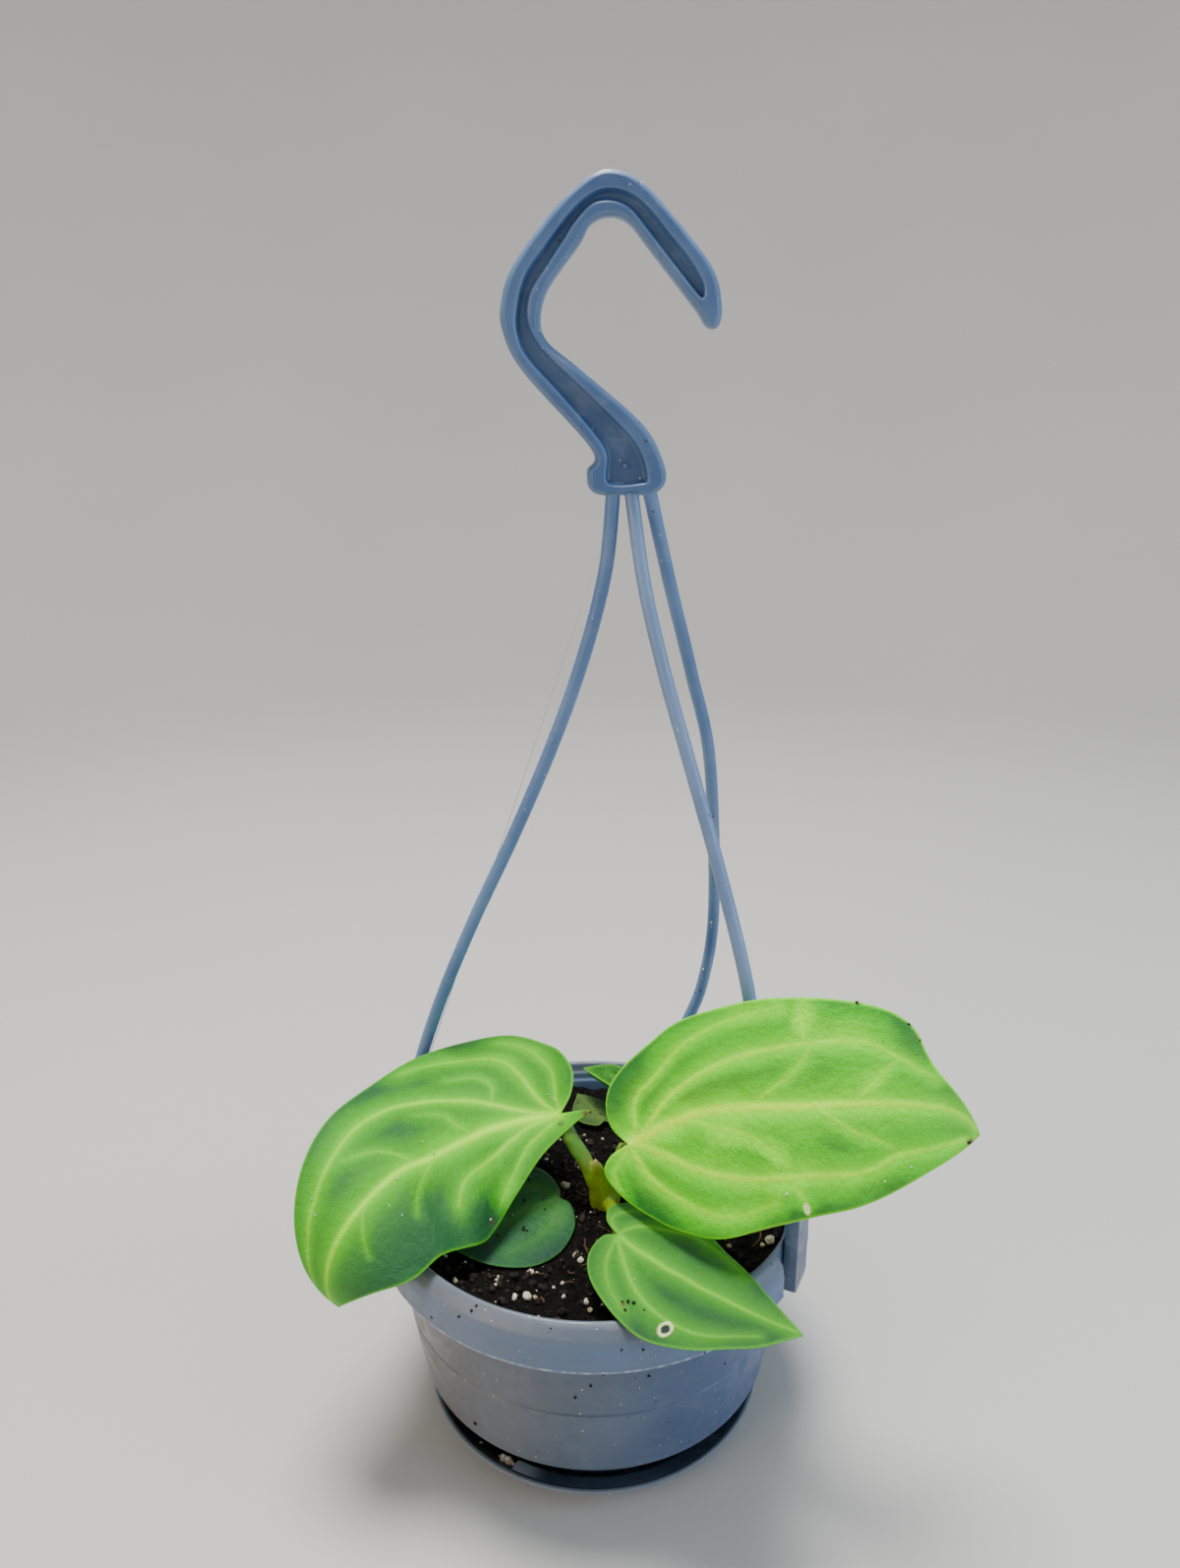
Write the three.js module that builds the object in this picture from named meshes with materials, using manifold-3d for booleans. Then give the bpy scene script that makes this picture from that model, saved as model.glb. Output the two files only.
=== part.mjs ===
// Young velvet-leaved aroid in a 12 cm hanging pot that stands on its clip-on saucer.
// Millimetres, +Z up. Origin: centre of the saucer's underside. +Y points away from the front.
import * as THREE from 'three';
import { mergeVertices } from 'three/addons/utils/BufferGeometryUtils.js';
import Module from 'manifold-3d';

// Pot
const COLLAR_R = 60;
const COLLAR_LOW = 59.5;
const RIM_TOP = 71.8;
const LIP_R = 55.8;
const SKIRT_R = 49.6;
const SKIRT_Z = 18;
const GROOVE_Z = 39.5;
const FLOOR_Z = 8.2;
const RING_SEGMENTS = 48;

// Saucer
const SAUCER_R = 47.8;
const SAUCER_H = 9;
const SAUCER_FLOOR = 2.4;
const APRON_FROM = -120;
const APRON_TO = -26;
const APRON_R = 41.4;
const APRON_Z = 4.3;

// Soil
const SOIL_Z = 64.8;
const SOIL_FALL = 0.03;
const SOIL_R = 53.5;

// Hanger: three moulded strands of about 200 mm and one flat hook
const CLIP_ANGLES = { left: 154, front: -25.5, back: 60 };
const CLIP_WIDTH = 11.2;
const CLIP_FROM = 55.6;
const CLIP_TO = 83;
const SLOT_WIDTH = 19;
const SLOT_R = 56.6;
const STRAND_R = 1.8;
const HOOK_Y = 12;
const HOOK_THICK = 7;
const HOOK_RIM = 2;
const HOOK_WEB = 2.6;

// Fits
const GAP = 0.3;
const BLADE = 0.8;

const wasm = await Module();
wasm.setup();

const rad = THREE.MathUtils.degToRad;
const object = new THREE.Group();

function welded(geometry) {
  geometry.deleteAttribute('normal');
  geometry.deleteAttribute('uv');
  return mergeVertices(geometry, 1e-4);
}

function solid(geometry) {
  const g = welded(geometry);
  const vertProperties = new Float32Array(g.attributes.position.array);
  const triVerts = new Uint32Array(g.index.array);
  return new wasm.Manifold(new wasm.Mesh({ numProp: 3, vertProperties, triVerts }));
}

function geometryOf(manifold) {
  const mesh = manifold.getMesh();
  const g = new THREE.BufferGeometry();
  g.setAttribute('position', new THREE.BufferAttribute(new Float32Array(mesh.vertProperties), 3));
  g.setIndex(new THREE.BufferAttribute(new Uint32Array(mesh.triVerts), 1));
  return g;
}

function add(name, geometry, color, roughness, metalness = 0) {
  const material = new THREE.MeshStandardMaterial({ color, roughness, metalness });
  const mesh = new THREE.Mesh(geometry, material);
  mesh.name = name;
  object.add(mesh);
  return mesh;
}

function lathe(profile, segments = RING_SEGMENTS) {
  const g = new THREE.LatheGeometry(profile.map(([r, z]) => new THREE.Vector2(r, z)), segments);
  return g.rotateX(Math.PI / 2);
}

function box(sx, sy, sz, x, y, z, angle = 0) {
  return new THREE.BoxGeometry(sx, sy, sz).translate(x, y, z).rotateZ(angle);
}

function disc(radius, sides) {
  const shape = new THREE.Shape();
  for (let i = 0; i < sides; i += 1) {
    const a = (2 * Math.PI * i) / sides;
    const x = radius * Math.cos(a);
    const y = radius * Math.sin(a);
    if (i === 0) shape.moveTo(x, y);
    else shape.lineTo(x, y);
  }
  shape.closePath();
  return shape;
}

function tube(points, radius, steps = 12, sides = 8) {
  const knots = points.map((p) => new THREE.Vector3(...p));
  const path = new THREE.CatmullRomCurve3(knots, false, 'centripetal');
  const options = { steps, extrudePath: path, bevelEnabled: false };
  return new THREE.ExtrudeGeometry(disc(radius, sides), options);
}

// Leaf blades: a midrib in space, a section that folds and cups, and a flat outline

function through(values, x) {
  const [a, b, c] = values;
  return a + (-3 * a + 4 * b - c) * x + (2 * a - 4 * b + 2 * c) * x * x;
}

function direction(leaf, x) {
  const turn = rad(through(leaf.heading, x));
  const rise = rad(through(leaf.rise, x));
  const flat = Math.cos(rise);
  return new THREE.Vector3(flat * Math.cos(turn), flat * Math.sin(turn), Math.sin(rise));
}

function midrib(leaf) {
  const steps = 100;
  const points = [new THREE.Vector3(...leaf.base)];
  for (let i = 1; i <= steps; i += 1) {
    const mean = direction(leaf, (i - 1) / steps).add(direction(leaf, i / steps)).multiplyScalar(0.5);
    points.push(points[i - 1].clone().addScaledVector(mean, leaf.length / steps));
  }
  return points;
}

function bladePoint(leaf, s, q) {
  const x = THREE.MathUtils.clamp(s / leaf.length, 0, 1);
  const at = x * 100;
  const low = Math.min(Math.floor(at), 99);
  const point = leaf.line[low].clone().lerp(leaf.line[low + 1], at - low);
  const along = direction(leaf, x);
  point.addScaledVector(along, Math.min(s, 0));
  const turn = rad(through(leaf.heading, x));
  const level = new THREE.Vector3(-Math.sin(turn), Math.cos(turn), 0);
  const up = along.clone().cross(level);
  const roll = rad(through(leaf.roll, x));
  const side = level.clone().multiplyScalar(Math.cos(roll)).addScaledVector(up, Math.sin(roll));
  const normal = up.clone().multiplyScalar(Math.cos(roll)).addScaledVector(level, -Math.sin(roll));
  const sign = q < 0 ? -1 : 1;
  const cup = rad(sign > 0 ? leaf.cup[0] : leaf.cup[1]);
  const fold = rad(leaf.fold[0] + (leaf.fold[1] - leaf.fold[0]) * x);
  const width = Math.abs(q);
  const across = (Math.sin(fold + cup * width) - Math.sin(fold)) / cup;
  const lift = (Math.cos(fold) - Math.cos(fold + cup * width)) / cup;
  return point.addScaledVector(side, sign * across).addScaledVector(normal, lift);
}

function bladeNormal(leaf, s, q) {
  const e = 0.4;
  const sideways = q < 0 ? -1 : 1;
  const here = bladePoint(leaf, s, q);
  const ahead = bladePoint(leaf, s + e, q).sub(here);
  const aside = bladePoint(leaf, s, q + sideways * e).sub(here).multiplyScalar(sideways);
  return ahead.cross(aside).normalize();
}

function outlineSide(points, sign, count) {
  const curve = new THREE.SplineCurve(points.map(([s, q]) => new THREE.Vector2(s, sign * q)));
  return curve.getSpacedPoints(count);
}

function leafGeometry(leaf, grow = 0) {
  const { samples, rings } = leaf;
  const left = outlineSide(leaf.left, 1, samples);
  const right = outlineSide(leaf.right, -1, samples).reverse();
  const outline = [...left, ...right.slice(1, -1)];
  const centre = new THREE.Vector2(leaf.length * 0.3, 0);
  const flat = [centre.clone()];
  for (let k = 1; k <= rings; k += 1) {
    for (const p of outline) {
      const spoke = p.clone().sub(centre);
      const reach = (k / rings) * (1 + grow / spoke.length());
      flat.push(centre.clone().addScaledVector(spoke, reach));
    }
  }
  const count = outline.length;
  const vertices = [];
  for (const face of [grow, -BLADE - grow]) {
    for (const p of flat) {
      const v = bladePoint(leaf, p.x, p.y).addScaledVector(bladeNormal(leaf, p.x, p.y), face);
      vertices.push(v.x, v.y, v.z);
    }
  }
  const faces = [];
  const ringStart = (k) => 1 + (k - 1) * count;
  for (let i = 0; i < count; i += 1) {
    const j = (i + 1) % count;
    faces.push([0, ringStart(1) + j, ringStart(1) + i]);
    for (let k = 1; k < rings; k += 1) {
      const a = ringStart(k);
      const b = ringStart(k + 1);
      faces.push([a + i, a + j, b + i], [a + j, b + j, b + i]);
    }
  }
  const index = [];
  for (const [a, b, c] of faces) {
    index.push(a, b, c, a + flat.length, c + flat.length, b + flat.length);
  }
  const edge = ringStart(rings);
  for (let i = 0; i < count; i += 1) {
    const a = edge + i;
    const b = edge + ((i + 1) % count);
    index.push(a, b, a + flat.length, b, b + flat.length, a + flat.length);
  }
  const g = new THREE.BufferGeometry();
  g.setAttribute('position', new THREE.Float32BufferAttribute(vertices, 3));
  g.setIndex(index);
  return g;
}

function leaf(spec) {
  const made = { samples: 21, rings: 4, ...spec };
  made.line = midrib(made);
  return made;
}

// Outline points are [distance along the midrib, half width], from the notch round the lobe to the tip
const leafRight = leaf({
  base: [9, -20, 94], length: 101.5,
  heading: [-23, -25.5, 36], rise: [37.5, 19, -48.5], roll: [62, 64, 60],
  fold: [3, 0], cup: [-0.47, -0.47],
  left: [[0, 0], [-3.5, 6], [-2.5, 12.5], [3, 17.5], [14, 21.5], [29, 24.5], [62, 22.5], [76, 19], [84, 9],
    [101.5, 0]],
  right: [[0, 0], [-7, 1], [-10, 5], [-5, 14], [6, 23], [22, 28.5], [48, 27], [72, 22], [87.5, 12],
    [101.5, 0]],
});

const leafLeft = leaf({
  base: [-9, -4.5, 93], length: 91,
  heading: [174, 225, 213], rise: [-25.5, -4.5, -124], roll: [-33, -27, -22],
  fold: [0, 0], cup: [-0.75, -0.83],
  left: [[0, 0], [-8.5, 2], [-3.5, 4], [6.5, 9], [17, 17.5], [28, 25], [37, 26.5], [54, 23.5], [73, 19.5],
    [91, 0]],
  right: [[0, 0], [-4, 5.5], [-4.5, 13.5], [2, 24.5], [14, 33.5], [28, 32.5], [42, 27.5], [60, 20.5],
    [79, 8.5], [91, 0]],
});

const leafFront = leaf({
  base: [6.2, -33.3, 77], length: 51.5,
  heading: [-45.5, -35.5, -32.5], rise: [-6, -2, -2], roll: [4, 4, 6],
  fold: [0, 0], cup: [-0.5, -0.5], samples: 18, rings: 3,
  left: [[0, 0], [-5.5, 1.5], [-8, 6], [-4, 12.5], [6, 17], [18, 16.5], [33, 10], [51.5, 0]],
  right: [[0, 0], [-2.5, 3], [-1, 9.5], [5, 15], [15, 18.5], [26, 18.5], [42, 9.5], [51.5, 0]],
});

const leafSmall = leaf({
  base: [-9.5, -10, 70.2], length: 36,
  heading: [200, 204, 208], rise: [4, -2, -6], roll: [-14, -10, -8],
  fold: [2, 0], cup: [-0.3, -0.3], samples: 14, rings: 3,
  left: [[0, 0], [-2.5, 3], [-1, 10.5], [6, 17], [16, 18.5], [27, 13], [36, 0]],
  right: [[0, 0], [-1, 3], [2, 10.5], [11, 15.5], [23, 13.5], [36, 0]],
});

const sideBack = [[0, 0], [-2, 2.5], [1, 6], [7, 7.2], [13, 5.5], [20, 0]];
const leafBack = leaf({
  base: [12, 35, 70.6], length: 20,
  heading: [142, 140, 138], rise: [12, 14, 8], roll: [0, 0, 0],
  fold: [48, 40], cup: [0.5, 0.5], samples: 10, rings: 3,
  left: sideBack,
  right: sideBack,
});

const sideOld = [[0, 0], [-1.5, 3], [3, 6.6], [10, 6.5], [19, 0]];
const leafOld = leaf({
  base: [3.4, 31.5, 66.4], length: 19,
  heading: [112, 116, 122], rise: [-4, -3, -8], roll: [4, 4, 4],
  fold: [-4, -4], cup: [-1, -1], samples: 10, rings: 3,
  left: sideOld,
  right: sideOld,
});

const GREEN = { bright: 0x7fb43c, mid: 0x6b9f45, dark: 0x4d8342, dull: 0x5f7238 };
add('leaf_right', leafGeometry(leafRight), GREEN.bright, 0.5);
add('leaf_left', leafGeometry(leafLeft), GREEN.mid, 0.5);
add('leaf_front', leafGeometry(leafFront), GREEN.dark, 0.5);
add('leaf_small', leafGeometry(leafSmall), GREEN.dark, 0.55);
add('leaf_back', leafGeometry(leafBack), GREEN.dark, 0.55);
add('leaf_old', leafGeometry(leafOld), GREEN.dull, 0.7);

// Crown with the petioles of the three upper leaves, and two short shoots

function under(blade, depth) {
  const normal = bladeNormal(blade, 0.2, 0.01);
  return new THREE.Vector3(...blade.base).addScaledVector(normal, -depth).toArray();
}

function crownSolid(grow) {
  const foot = new THREE.Vector3(3.6, -7.4, 56);
  const head = new THREE.Vector3(0, -10.9, 82.5);
  const height = foot.distanceTo(head);
  const profile = [
    [0, 0], [2.4, 0], [3.2, 5], [3.3, 11], [2.9, 16], [2.3, 21], [2, height - 1.2], [0, height],
  ];
  const grown = profile.map(([r, z]) => [r === 0 ? 0 : r + grow, z === 0 ? -grow : z]);
  const body = lathe(grown, 10);
  const axis = head.clone().sub(foot).normalize();
  body.applyQuaternion(new THREE.Quaternion().setFromUnitVectors(new THREE.Vector3(0, 0, 1), axis));
  body.translate(foot.x, foot.y, foot.z);
  const end = BLADE + GAP - grow;
  const toLeft = [[0.6, -10.4, 76], [-1.6, -9.8, 80.5], [-5, -8, 85.5]];
  const toRight = [[2, -8.8, 72], [5, -8.6, 78], [9, -10.5, 85]];
  const toFront = [[3, -8.5, 68.5], [5, -16, 69.4], [6.2, -27, 70.2]];
  const paths = [[leafLeft, 2.1, 4.5, toLeft], [leafRight, 1.8, 5, toRight], [leafFront, 1.6, 4.5, toFront]];
  let joined = solid(body);
  for (const [blade, radius, bend, route] of paths) {
    const petiole = tube([...route, under(blade, bend), under(blade, end)], radius + grow, 9, 7);
    joined = joined.add(solid(petiole));
  }
  return joined;
}

function shootSolid(blade, foot, grow) {
  const [x, y, z] = foot;
  const route = [[x, y, z - grow], [x, y, z + 5], under(blade, 2.6), under(blade, BLADE + GAP - grow)];
  return solid(tube(route, 1.1 + grow, 6, 7));
}

const footBack = [13.4, 32.6, 57];
const footSmall = [-9.6, -9.4, 57];

add('stem_crown', geometryOf(crownSolid(0)), 0xa3a83c, 0.5);
add('shoot_back', geometryOf(shootSolid(leafBack, footBack, 0)), 0x7d8f3c, 0.55);
add('shoot_small', geometryOf(shootSolid(leafSmall, footSmall, 0)), 0x7d8f3c, 0.55);

// Soil: fills the pot, uneven on top

function lumps(x, y) {
  const coarse = Math.sin(0.31 * x + 1.3) * Math.cos(0.27 * y - 0.4);
  const fine = Math.sin(0.83 * x + 0.61 * y) * Math.cos(0.71 * x - 0.9 * y + 2);
  return 0.32 * coarse + 0.38 * fine;
}

function soilTop(x, y) {
  return SOIL_Z - SOIL_FALL * y + lumps(x, y);
}

const soilRings = [53.4, 48, 41, 33, 25, 17, 9];
const soilProfile = [
  [0, FLOOR_Z + GAP], [36.4, FLOOR_Z + GAP], [43.2, 19.4], [47.2, 20.9], [50.4, 40], [SOIL_R, 61.6],
];
soilRings.forEach((r) => soilProfile.push([r, SOIL_Z]));
soilProfile.push([0, SOIL_Z]);
const soilBody = welded(lathe(soilProfile, 40));
const soilPoints = soilBody.attributes.position;
for (let i = 0; i < soilPoints.count; i += 1) {
  if (soilPoints.getZ(i) > 62) soilPoints.setZ(i, soilTop(soilPoints.getX(i), soilPoints.getY(i)));
}
let soil = solid(soilBody);
soil = soil.subtract(crownSolid(GAP));
soil = soil.subtract(shootSolid(leafBack, footBack, GAP)).subtract(shootSolid(leafSmall, footSmall, GAP));
soil = soil.subtract(solid(leafGeometry(leafSmall, GAP))).subtract(solid(leafGeometry(leafOld, GAP)));
add('soil', geometryOf(soil), 0x2a211b, 0.95);

// Pot: skirted wall, groove, rolled collar cut away at the three clips

const potProfile = [
  [0, 6.2], [33.2, 6.2], [34.2, SAUCER_FLOOR + GAP], [37.2, SAUCER_FLOOR + GAP], [38.2, 6.5],
  [45, SKIRT_Z], [SKIRT_R, SKIRT_Z], [51.3, 28.5], [53, GROOVE_Z - 0.4], [52.5, GROOVE_Z],
  [53.1, GROOVE_Z + 0.4], [55.5, COLLAR_LOW - 0.3], [COLLAR_R - 0.2, COLLAR_LOW],
  [COLLAR_R, COLLAR_LOW + 1], [COLLAR_R, 66.4], [59.2, 69.2], [57.8, 71.1], [56.6, RIM_TOP],
  [LIP_R, 71], [LIP_R - 0.2, 68.9], [54.9, 68.2], [54.7, 66.4], [54.1, 65.8], [53.9, 61.5],
  [50.8, 40], [47.6, 20.5], [43.6, 19], [36.8, FLOOR_Z], [0, FLOOR_Z],
];
let pot = solid(lathe(potProfile));
for (const angle of Object.values(CLIP_ANGLES)) {
  const depth = COLLAR_R + 2 - SLOT_R;
  const height = RIM_TOP - COLLAR_LOW + 4;
  const slot = box(depth, SLOT_WIDTH, height, SLOT_R + depth / 2, 0, COLLAR_LOW - 1 + height / 2, rad(angle));
  pot = pot.subtract(solid(slot));
}
add('pot', geometryOf(pot), 0x5d6878, 0.5);

// Saucer: shallow dish with a sloping apron inside the front of its rim

const saucerProfile = [
  [0, 0], [38.2, 0], [39.4, 0.8], [46.6, 7.2], [SAUCER_R, SAUCER_H - 1.1],
  [SAUCER_R, SAUCER_H], [46.6, SAUCER_H], [45.6, 8], [38.6, SAUCER_FLOOR], [0, SAUCER_FLOOR],
];
const apronShape = new THREE.Shape();
[[0, 0], [0, 1.3], [5.5, 4.6], [5.5, 3.6]].forEach(([r, z], i) => {
  if (i === 0) apronShape.moveTo(-z, -r);
  else apronShape.lineTo(-z, -r);
});
apronShape.closePath();

class ApronArc extends THREE.Curve {
  getPoint(t, target = new THREE.Vector3()) {
    const a = rad(APRON_FROM + (APRON_TO - APRON_FROM) * t);
    return target.set(APRON_R * Math.cos(a), APRON_R * Math.sin(a), APRON_Z);
  }
}

const apronOptions = { steps: 16, extrudePath: new ApronArc(), bevelEnabled: false };
const apron = new THREE.ExtrudeGeometry(apronShape, apronOptions);
const dish = solid(lathe(saucerProfile));
add('saucer', geometryOf(dish.add(solid(apron))), 0x4f5f74, 0.5);

// Hook: a flat bar with a recessed web on both faces

// Closed outline of the hook in x and z, clockwise from the top of the left limb
const hookOutline = [
  [0, 324.5], [-8, 318], [-17.5, 306.5], [-20.5, 299], [-20.5, 292.5], [-16, 283.5], [0, 266], [-1, 261],
  [-0.5, 257], [2.5, 255.3], [9, 255.3], [15, 255.5], [18, 258.5], [17, 264], [12, 272], [-2.5, 284],
  [-10, 290], [-11.5, 295], [-9.5, 301.5], [-2.5, 310.5], [0, 314.5], [4, 316.2], [8.5, 315], [13, 310],
  [24, 297], [27, 293], [29.7, 293.2], [30.3, 298], [28, 305.5], [20.5, 314.5], [12, 323], [5.5, 325.7],
];
const hookKnots = hookOutline.map(([x, z]) => new THREE.Vector3(x, z, 0));
const hookCurve = new THREE.CatmullRomCurve3(hookKnots, true, 'centripetal');
const hookRing = hookCurve.getSpacedPoints(72).slice(0, -1);

function insetRing(ring, inset) {
  return ring.map((p, i) => {
    const before = ring[(i + ring.length - 2) % ring.length];
    const after = ring[(i + 2) % ring.length];
    const t = after.clone().sub(before).normalize();
    return new THREE.Vector2(p.x - t.y * inset, p.y + t.x * inset);
  });
}

function plate(ring, thick, y) {
  const g = new THREE.ExtrudeGeometry(new THREE.Shape(ring), { depth: thick, bevelEnabled: false });
  return g.rotateX(Math.PI / 2).translate(0, y + thick / 2, 0);
}

const recess = HOOK_THICK - HOOK_WEB;
let hook = solid(plate(insetRing(hookRing, 0), HOOK_THICK, HOOK_Y));
for (const side of [-1, 1]) {
  const y = HOOK_Y + side * (HOOK_WEB / 2 + recess / 2);
  hook = hook.subtract(solid(plate(insetRing(hookRing, HOOK_RIM), recess, y)));
}
add('hanger_hook', geometryOf(hook), 0x5b7ba6, 0.45);

// Strands, each ending in a channel clip on the collar

function clipSolid(angle) {
  const a = rad(angle);
  const tall = CLIP_TO - CLIP_FROM;
  const mid = (CLIP_TO + CLIP_FROM) / 2;
  const inner = SLOT_R + GAP;
  const deep = 59.2 - inner;
  const web = solid(box(1.5, CLIP_WIDTH, tall, 59.6, 0, mid, a));
  const flanges = [-1, 1].map((side) => {
    const y = side * (CLIP_WIDTH / 2 - 0.7);
    return solid(box(deep, 1.4, tall, inner + deep / 2, y, mid, a));
  });
  const bridge = solid(box(deep, CLIP_WIDTH, 3, inner + deep / 2, 0, CLIP_TO - 1.5, a));
  return web.add(flanges[0]).add(flanges[1]).add(bridge);
}

function clipPoint(angle, radius, z) {
  return [radius * Math.cos(rad(angle)), radius * Math.sin(rad(angle)), z];
}

const TOP = 254.7;
const strands = {
  left: [[5.4, HOOK_Y, TOP], [3.5, 12.8, 237], [-2.2, 14.2, 214.6], [-10.6, 16, 190.8], [-21.3, 18, 165.4],
    [-33.8, 20.4, 138], [-44.4, 22.6, 112]],
  front: [[9.7, HOOK_Y, TOP], [13, 7.3, 234], [18, 2.6, 213], [24.1, -2.2, 191.8], [31.4, -7.4, 166.4],
    [38, -12.6, 141], [44, -18, 112]],
  back: [[14.1, HOOK_Y, TOP], [20.2, 20.4, 232.4], [27, 28.8, 207.4], [33.5, 36.4, 180], [37, 46, 130.6],
    [34.6, 50, 103.4]],
};
for (const [name, route] of Object.entries(strands)) {
  const angle = CLIP_ANGLES[name];
  const foot = [clipPoint(angle, 58.5, CLIP_TO + 4), clipPoint(angle, 58.5, CLIP_TO - 4)];
  const strand = solid(tube([...route, ...foot], STRAND_R, 22, 8));
  add(`hanger_strand_${name}`, geometryOf(strand.add(clipSolid(angle))), 0x5b7ba6, 0.45);
}

export default object;
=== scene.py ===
import itertools
import math

import bpy
import numpy as np
from mathutils import Euler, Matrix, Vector
from mathutils.geometry import delaunay_2d_cdt


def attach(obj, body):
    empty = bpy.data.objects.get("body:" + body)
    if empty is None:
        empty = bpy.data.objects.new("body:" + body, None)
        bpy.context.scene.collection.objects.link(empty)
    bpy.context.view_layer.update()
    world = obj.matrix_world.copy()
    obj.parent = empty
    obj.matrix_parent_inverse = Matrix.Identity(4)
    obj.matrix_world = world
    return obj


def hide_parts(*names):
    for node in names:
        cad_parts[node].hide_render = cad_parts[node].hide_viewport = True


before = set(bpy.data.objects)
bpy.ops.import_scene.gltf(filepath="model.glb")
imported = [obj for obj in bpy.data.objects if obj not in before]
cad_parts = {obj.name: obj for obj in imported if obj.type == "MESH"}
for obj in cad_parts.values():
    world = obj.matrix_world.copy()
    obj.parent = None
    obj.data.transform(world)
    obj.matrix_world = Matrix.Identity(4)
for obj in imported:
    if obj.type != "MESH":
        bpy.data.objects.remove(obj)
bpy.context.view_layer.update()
MM = 0.001
rng = np.random.default_rng(11)


# Camera, solved from the rings of the pot

lens = bpy.data.cameras.new("camera")
lens.sensor_width = 36
lens.lens = 25.92
lens.clip_start = 0.01
camera = bpy.data.objects.new("camera", lens)
camera.location = (-0.00052, -0.27007, 0.27144)
camera.rotation_euler = Euler((math.radians(90 - 17.633), 0, 0))
camera.rotation_euler.rotate_axis("Z", math.radians(-0.232))
bpy.context.scene.collection.objects.link(camera)
bpy.context.scene.camera = camera


# Small helpers


def tint(r, g, b):
    """An sRGB colour from 0 to 255 as linear values."""
    return tuple(((c / 255 + 0.055) / 1.055) ** 2.4 if c > 10 else c / 255 / 12.92 for c in (r, g, b))


def ramp(x):
    return np.clip(x, 0, 1)


def bell(*distances):
    """Falls smoothly from 1 with distance, which is given in widths."""
    return np.exp(-sum(d * d for d in distances))


def circle(count):
    """Evenly spaced angles of a full turn."""
    return np.arange(count) * 2 * math.pi / count


def polar(r, angle):
    return np.column_stack([r * np.cos(angle), r * np.sin(angle)])


def unit(vectors):
    return vectors / np.linalg.norm(vectors, axis=-1, keepdims=True)


def closed(ring):
    return np.vstack([ring, ring[:1]])


def lattice(ix, iy, iz, seed):
    """A fixed pseudo-random value from 0 to 1 for each whole-number place."""
    h = np.sin(ix * 127.1 + iy * 311.7 + iz * 74.7 + seed * 19.19) * 43758.5453
    return h - np.floor(h)


def noise(points, size, seed=0):
    """Smooth noise from -1 to 1 at an array of points, with features of the given size."""
    p = np.asarray(points, float) / size
    if p.shape[1] == 2:
        p = np.column_stack([p, np.zeros(len(p))])
    whole = np.floor(p)
    f = p - whole
    f = f * f * (3 - 2 * f)
    total = np.zeros(len(p))
    for corner in itertools.product((0, 1), repeat=3):
        weight = np.prod(np.where(corner, f, 1 - f), axis=1)
        total += weight * lattice(*(whole + corner).T, seed)
    return total * 2 - 1


def even(line, count=None, step=None):
    """Evenly spaced points along a polyline, by number or by distance."""
    line = np.asarray(line, float)
    run = np.concatenate([[0], np.cumsum(np.linalg.norm(np.diff(line, axis=0), axis=1))])
    at = np.linspace(0, run[-1], count or int(run[-1] / step) + 1)
    return np.column_stack([np.interp(at, run, values) for values in line.T])


def spline(points, count, loop=False):
    """Evenly spaced points on a smooth curve through the given ones."""
    p = np.asarray(points, float)
    n = len(p)
    i = np.arange(n if loop else n - 1)
    a, b, c, d = (p[(i + k) % n if loop else np.clip(i + k, 0, n - 1)][:, None] for k in (-1, 0, 1, 2))
    t = (np.arange(24) / 24)[:, None]
    v0, v1 = (c - a) / 2, (d - b) / 2
    fine = (2 * b - 2 * c + v0 + v1) * t**3 + (-3 * b + 3 * c - 2 * v0 - v1) * t**2 + v0 * t + b
    fine = even(np.vstack([fine.reshape(-1, p.shape[1]), p[:1] if loop else p[-1:]]), count + 1)
    return fine[:-1] if loop else fine


def solid(name, mesh, material, values=None, sharp=None):
    """Makes a mesh object from points and faces. values are named numbers for each point."""
    verts, faces = mesh
    data = bpy.data.meshes.new(name)
    data.from_pydata((np.asarray(verts) * MM).tolist(), [], [list(map(int, f)) for f in faces])
    data.polygons.foreach_set("use_smooth", [True] * len(data.polygons))
    for key, numbers in (values or {}).items():
        numbers = np.asarray(numbers, float)
        kind, field = ("FLOAT", "value") if numbers.ndim == 1 else ("FLOAT_VECTOR", "vector")
        data.attributes.new(key, kind, "POINT").data.foreach_set(field, numbers.ravel())
    data.materials.append(material)
    if sharp:
        data.set_sharp_from_angle(angle=math.radians(sharp))
    obj = bpy.data.objects.new(name, data)
    bpy.context.scene.collection.objects.link(obj)
    return obj


def piece(name, mesh, material, replaces=(), values=None, sharp=None):
    """A mesh object as a piece of the part, in place of the given nodes."""
    obj = solid(name, mesh, material, values, sharp)
    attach(obj, "root")
    if replaces:
        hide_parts(*replaces)


def joined(parts):
    """One list of points and faces from several."""
    verts, faces, start = [], [], 0
    for v, f in parts:
        verts.append(np.asarray(v))
        faces.extend([i + start for i in face] for face in f)
        start += len(v)
    return np.vstack(verts), faces


def bands(rows, columns):
    """Four-sided faces between rows of points, where each row is a closed ring."""
    faces = []
    for a in range(0, (rows - 1) * columns, columns):
        for k in range(columns):
            m = (k + 1) % columns
            faces.append([a + k, a + m, a + columns + m, a + columns + k])
    return faces


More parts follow.
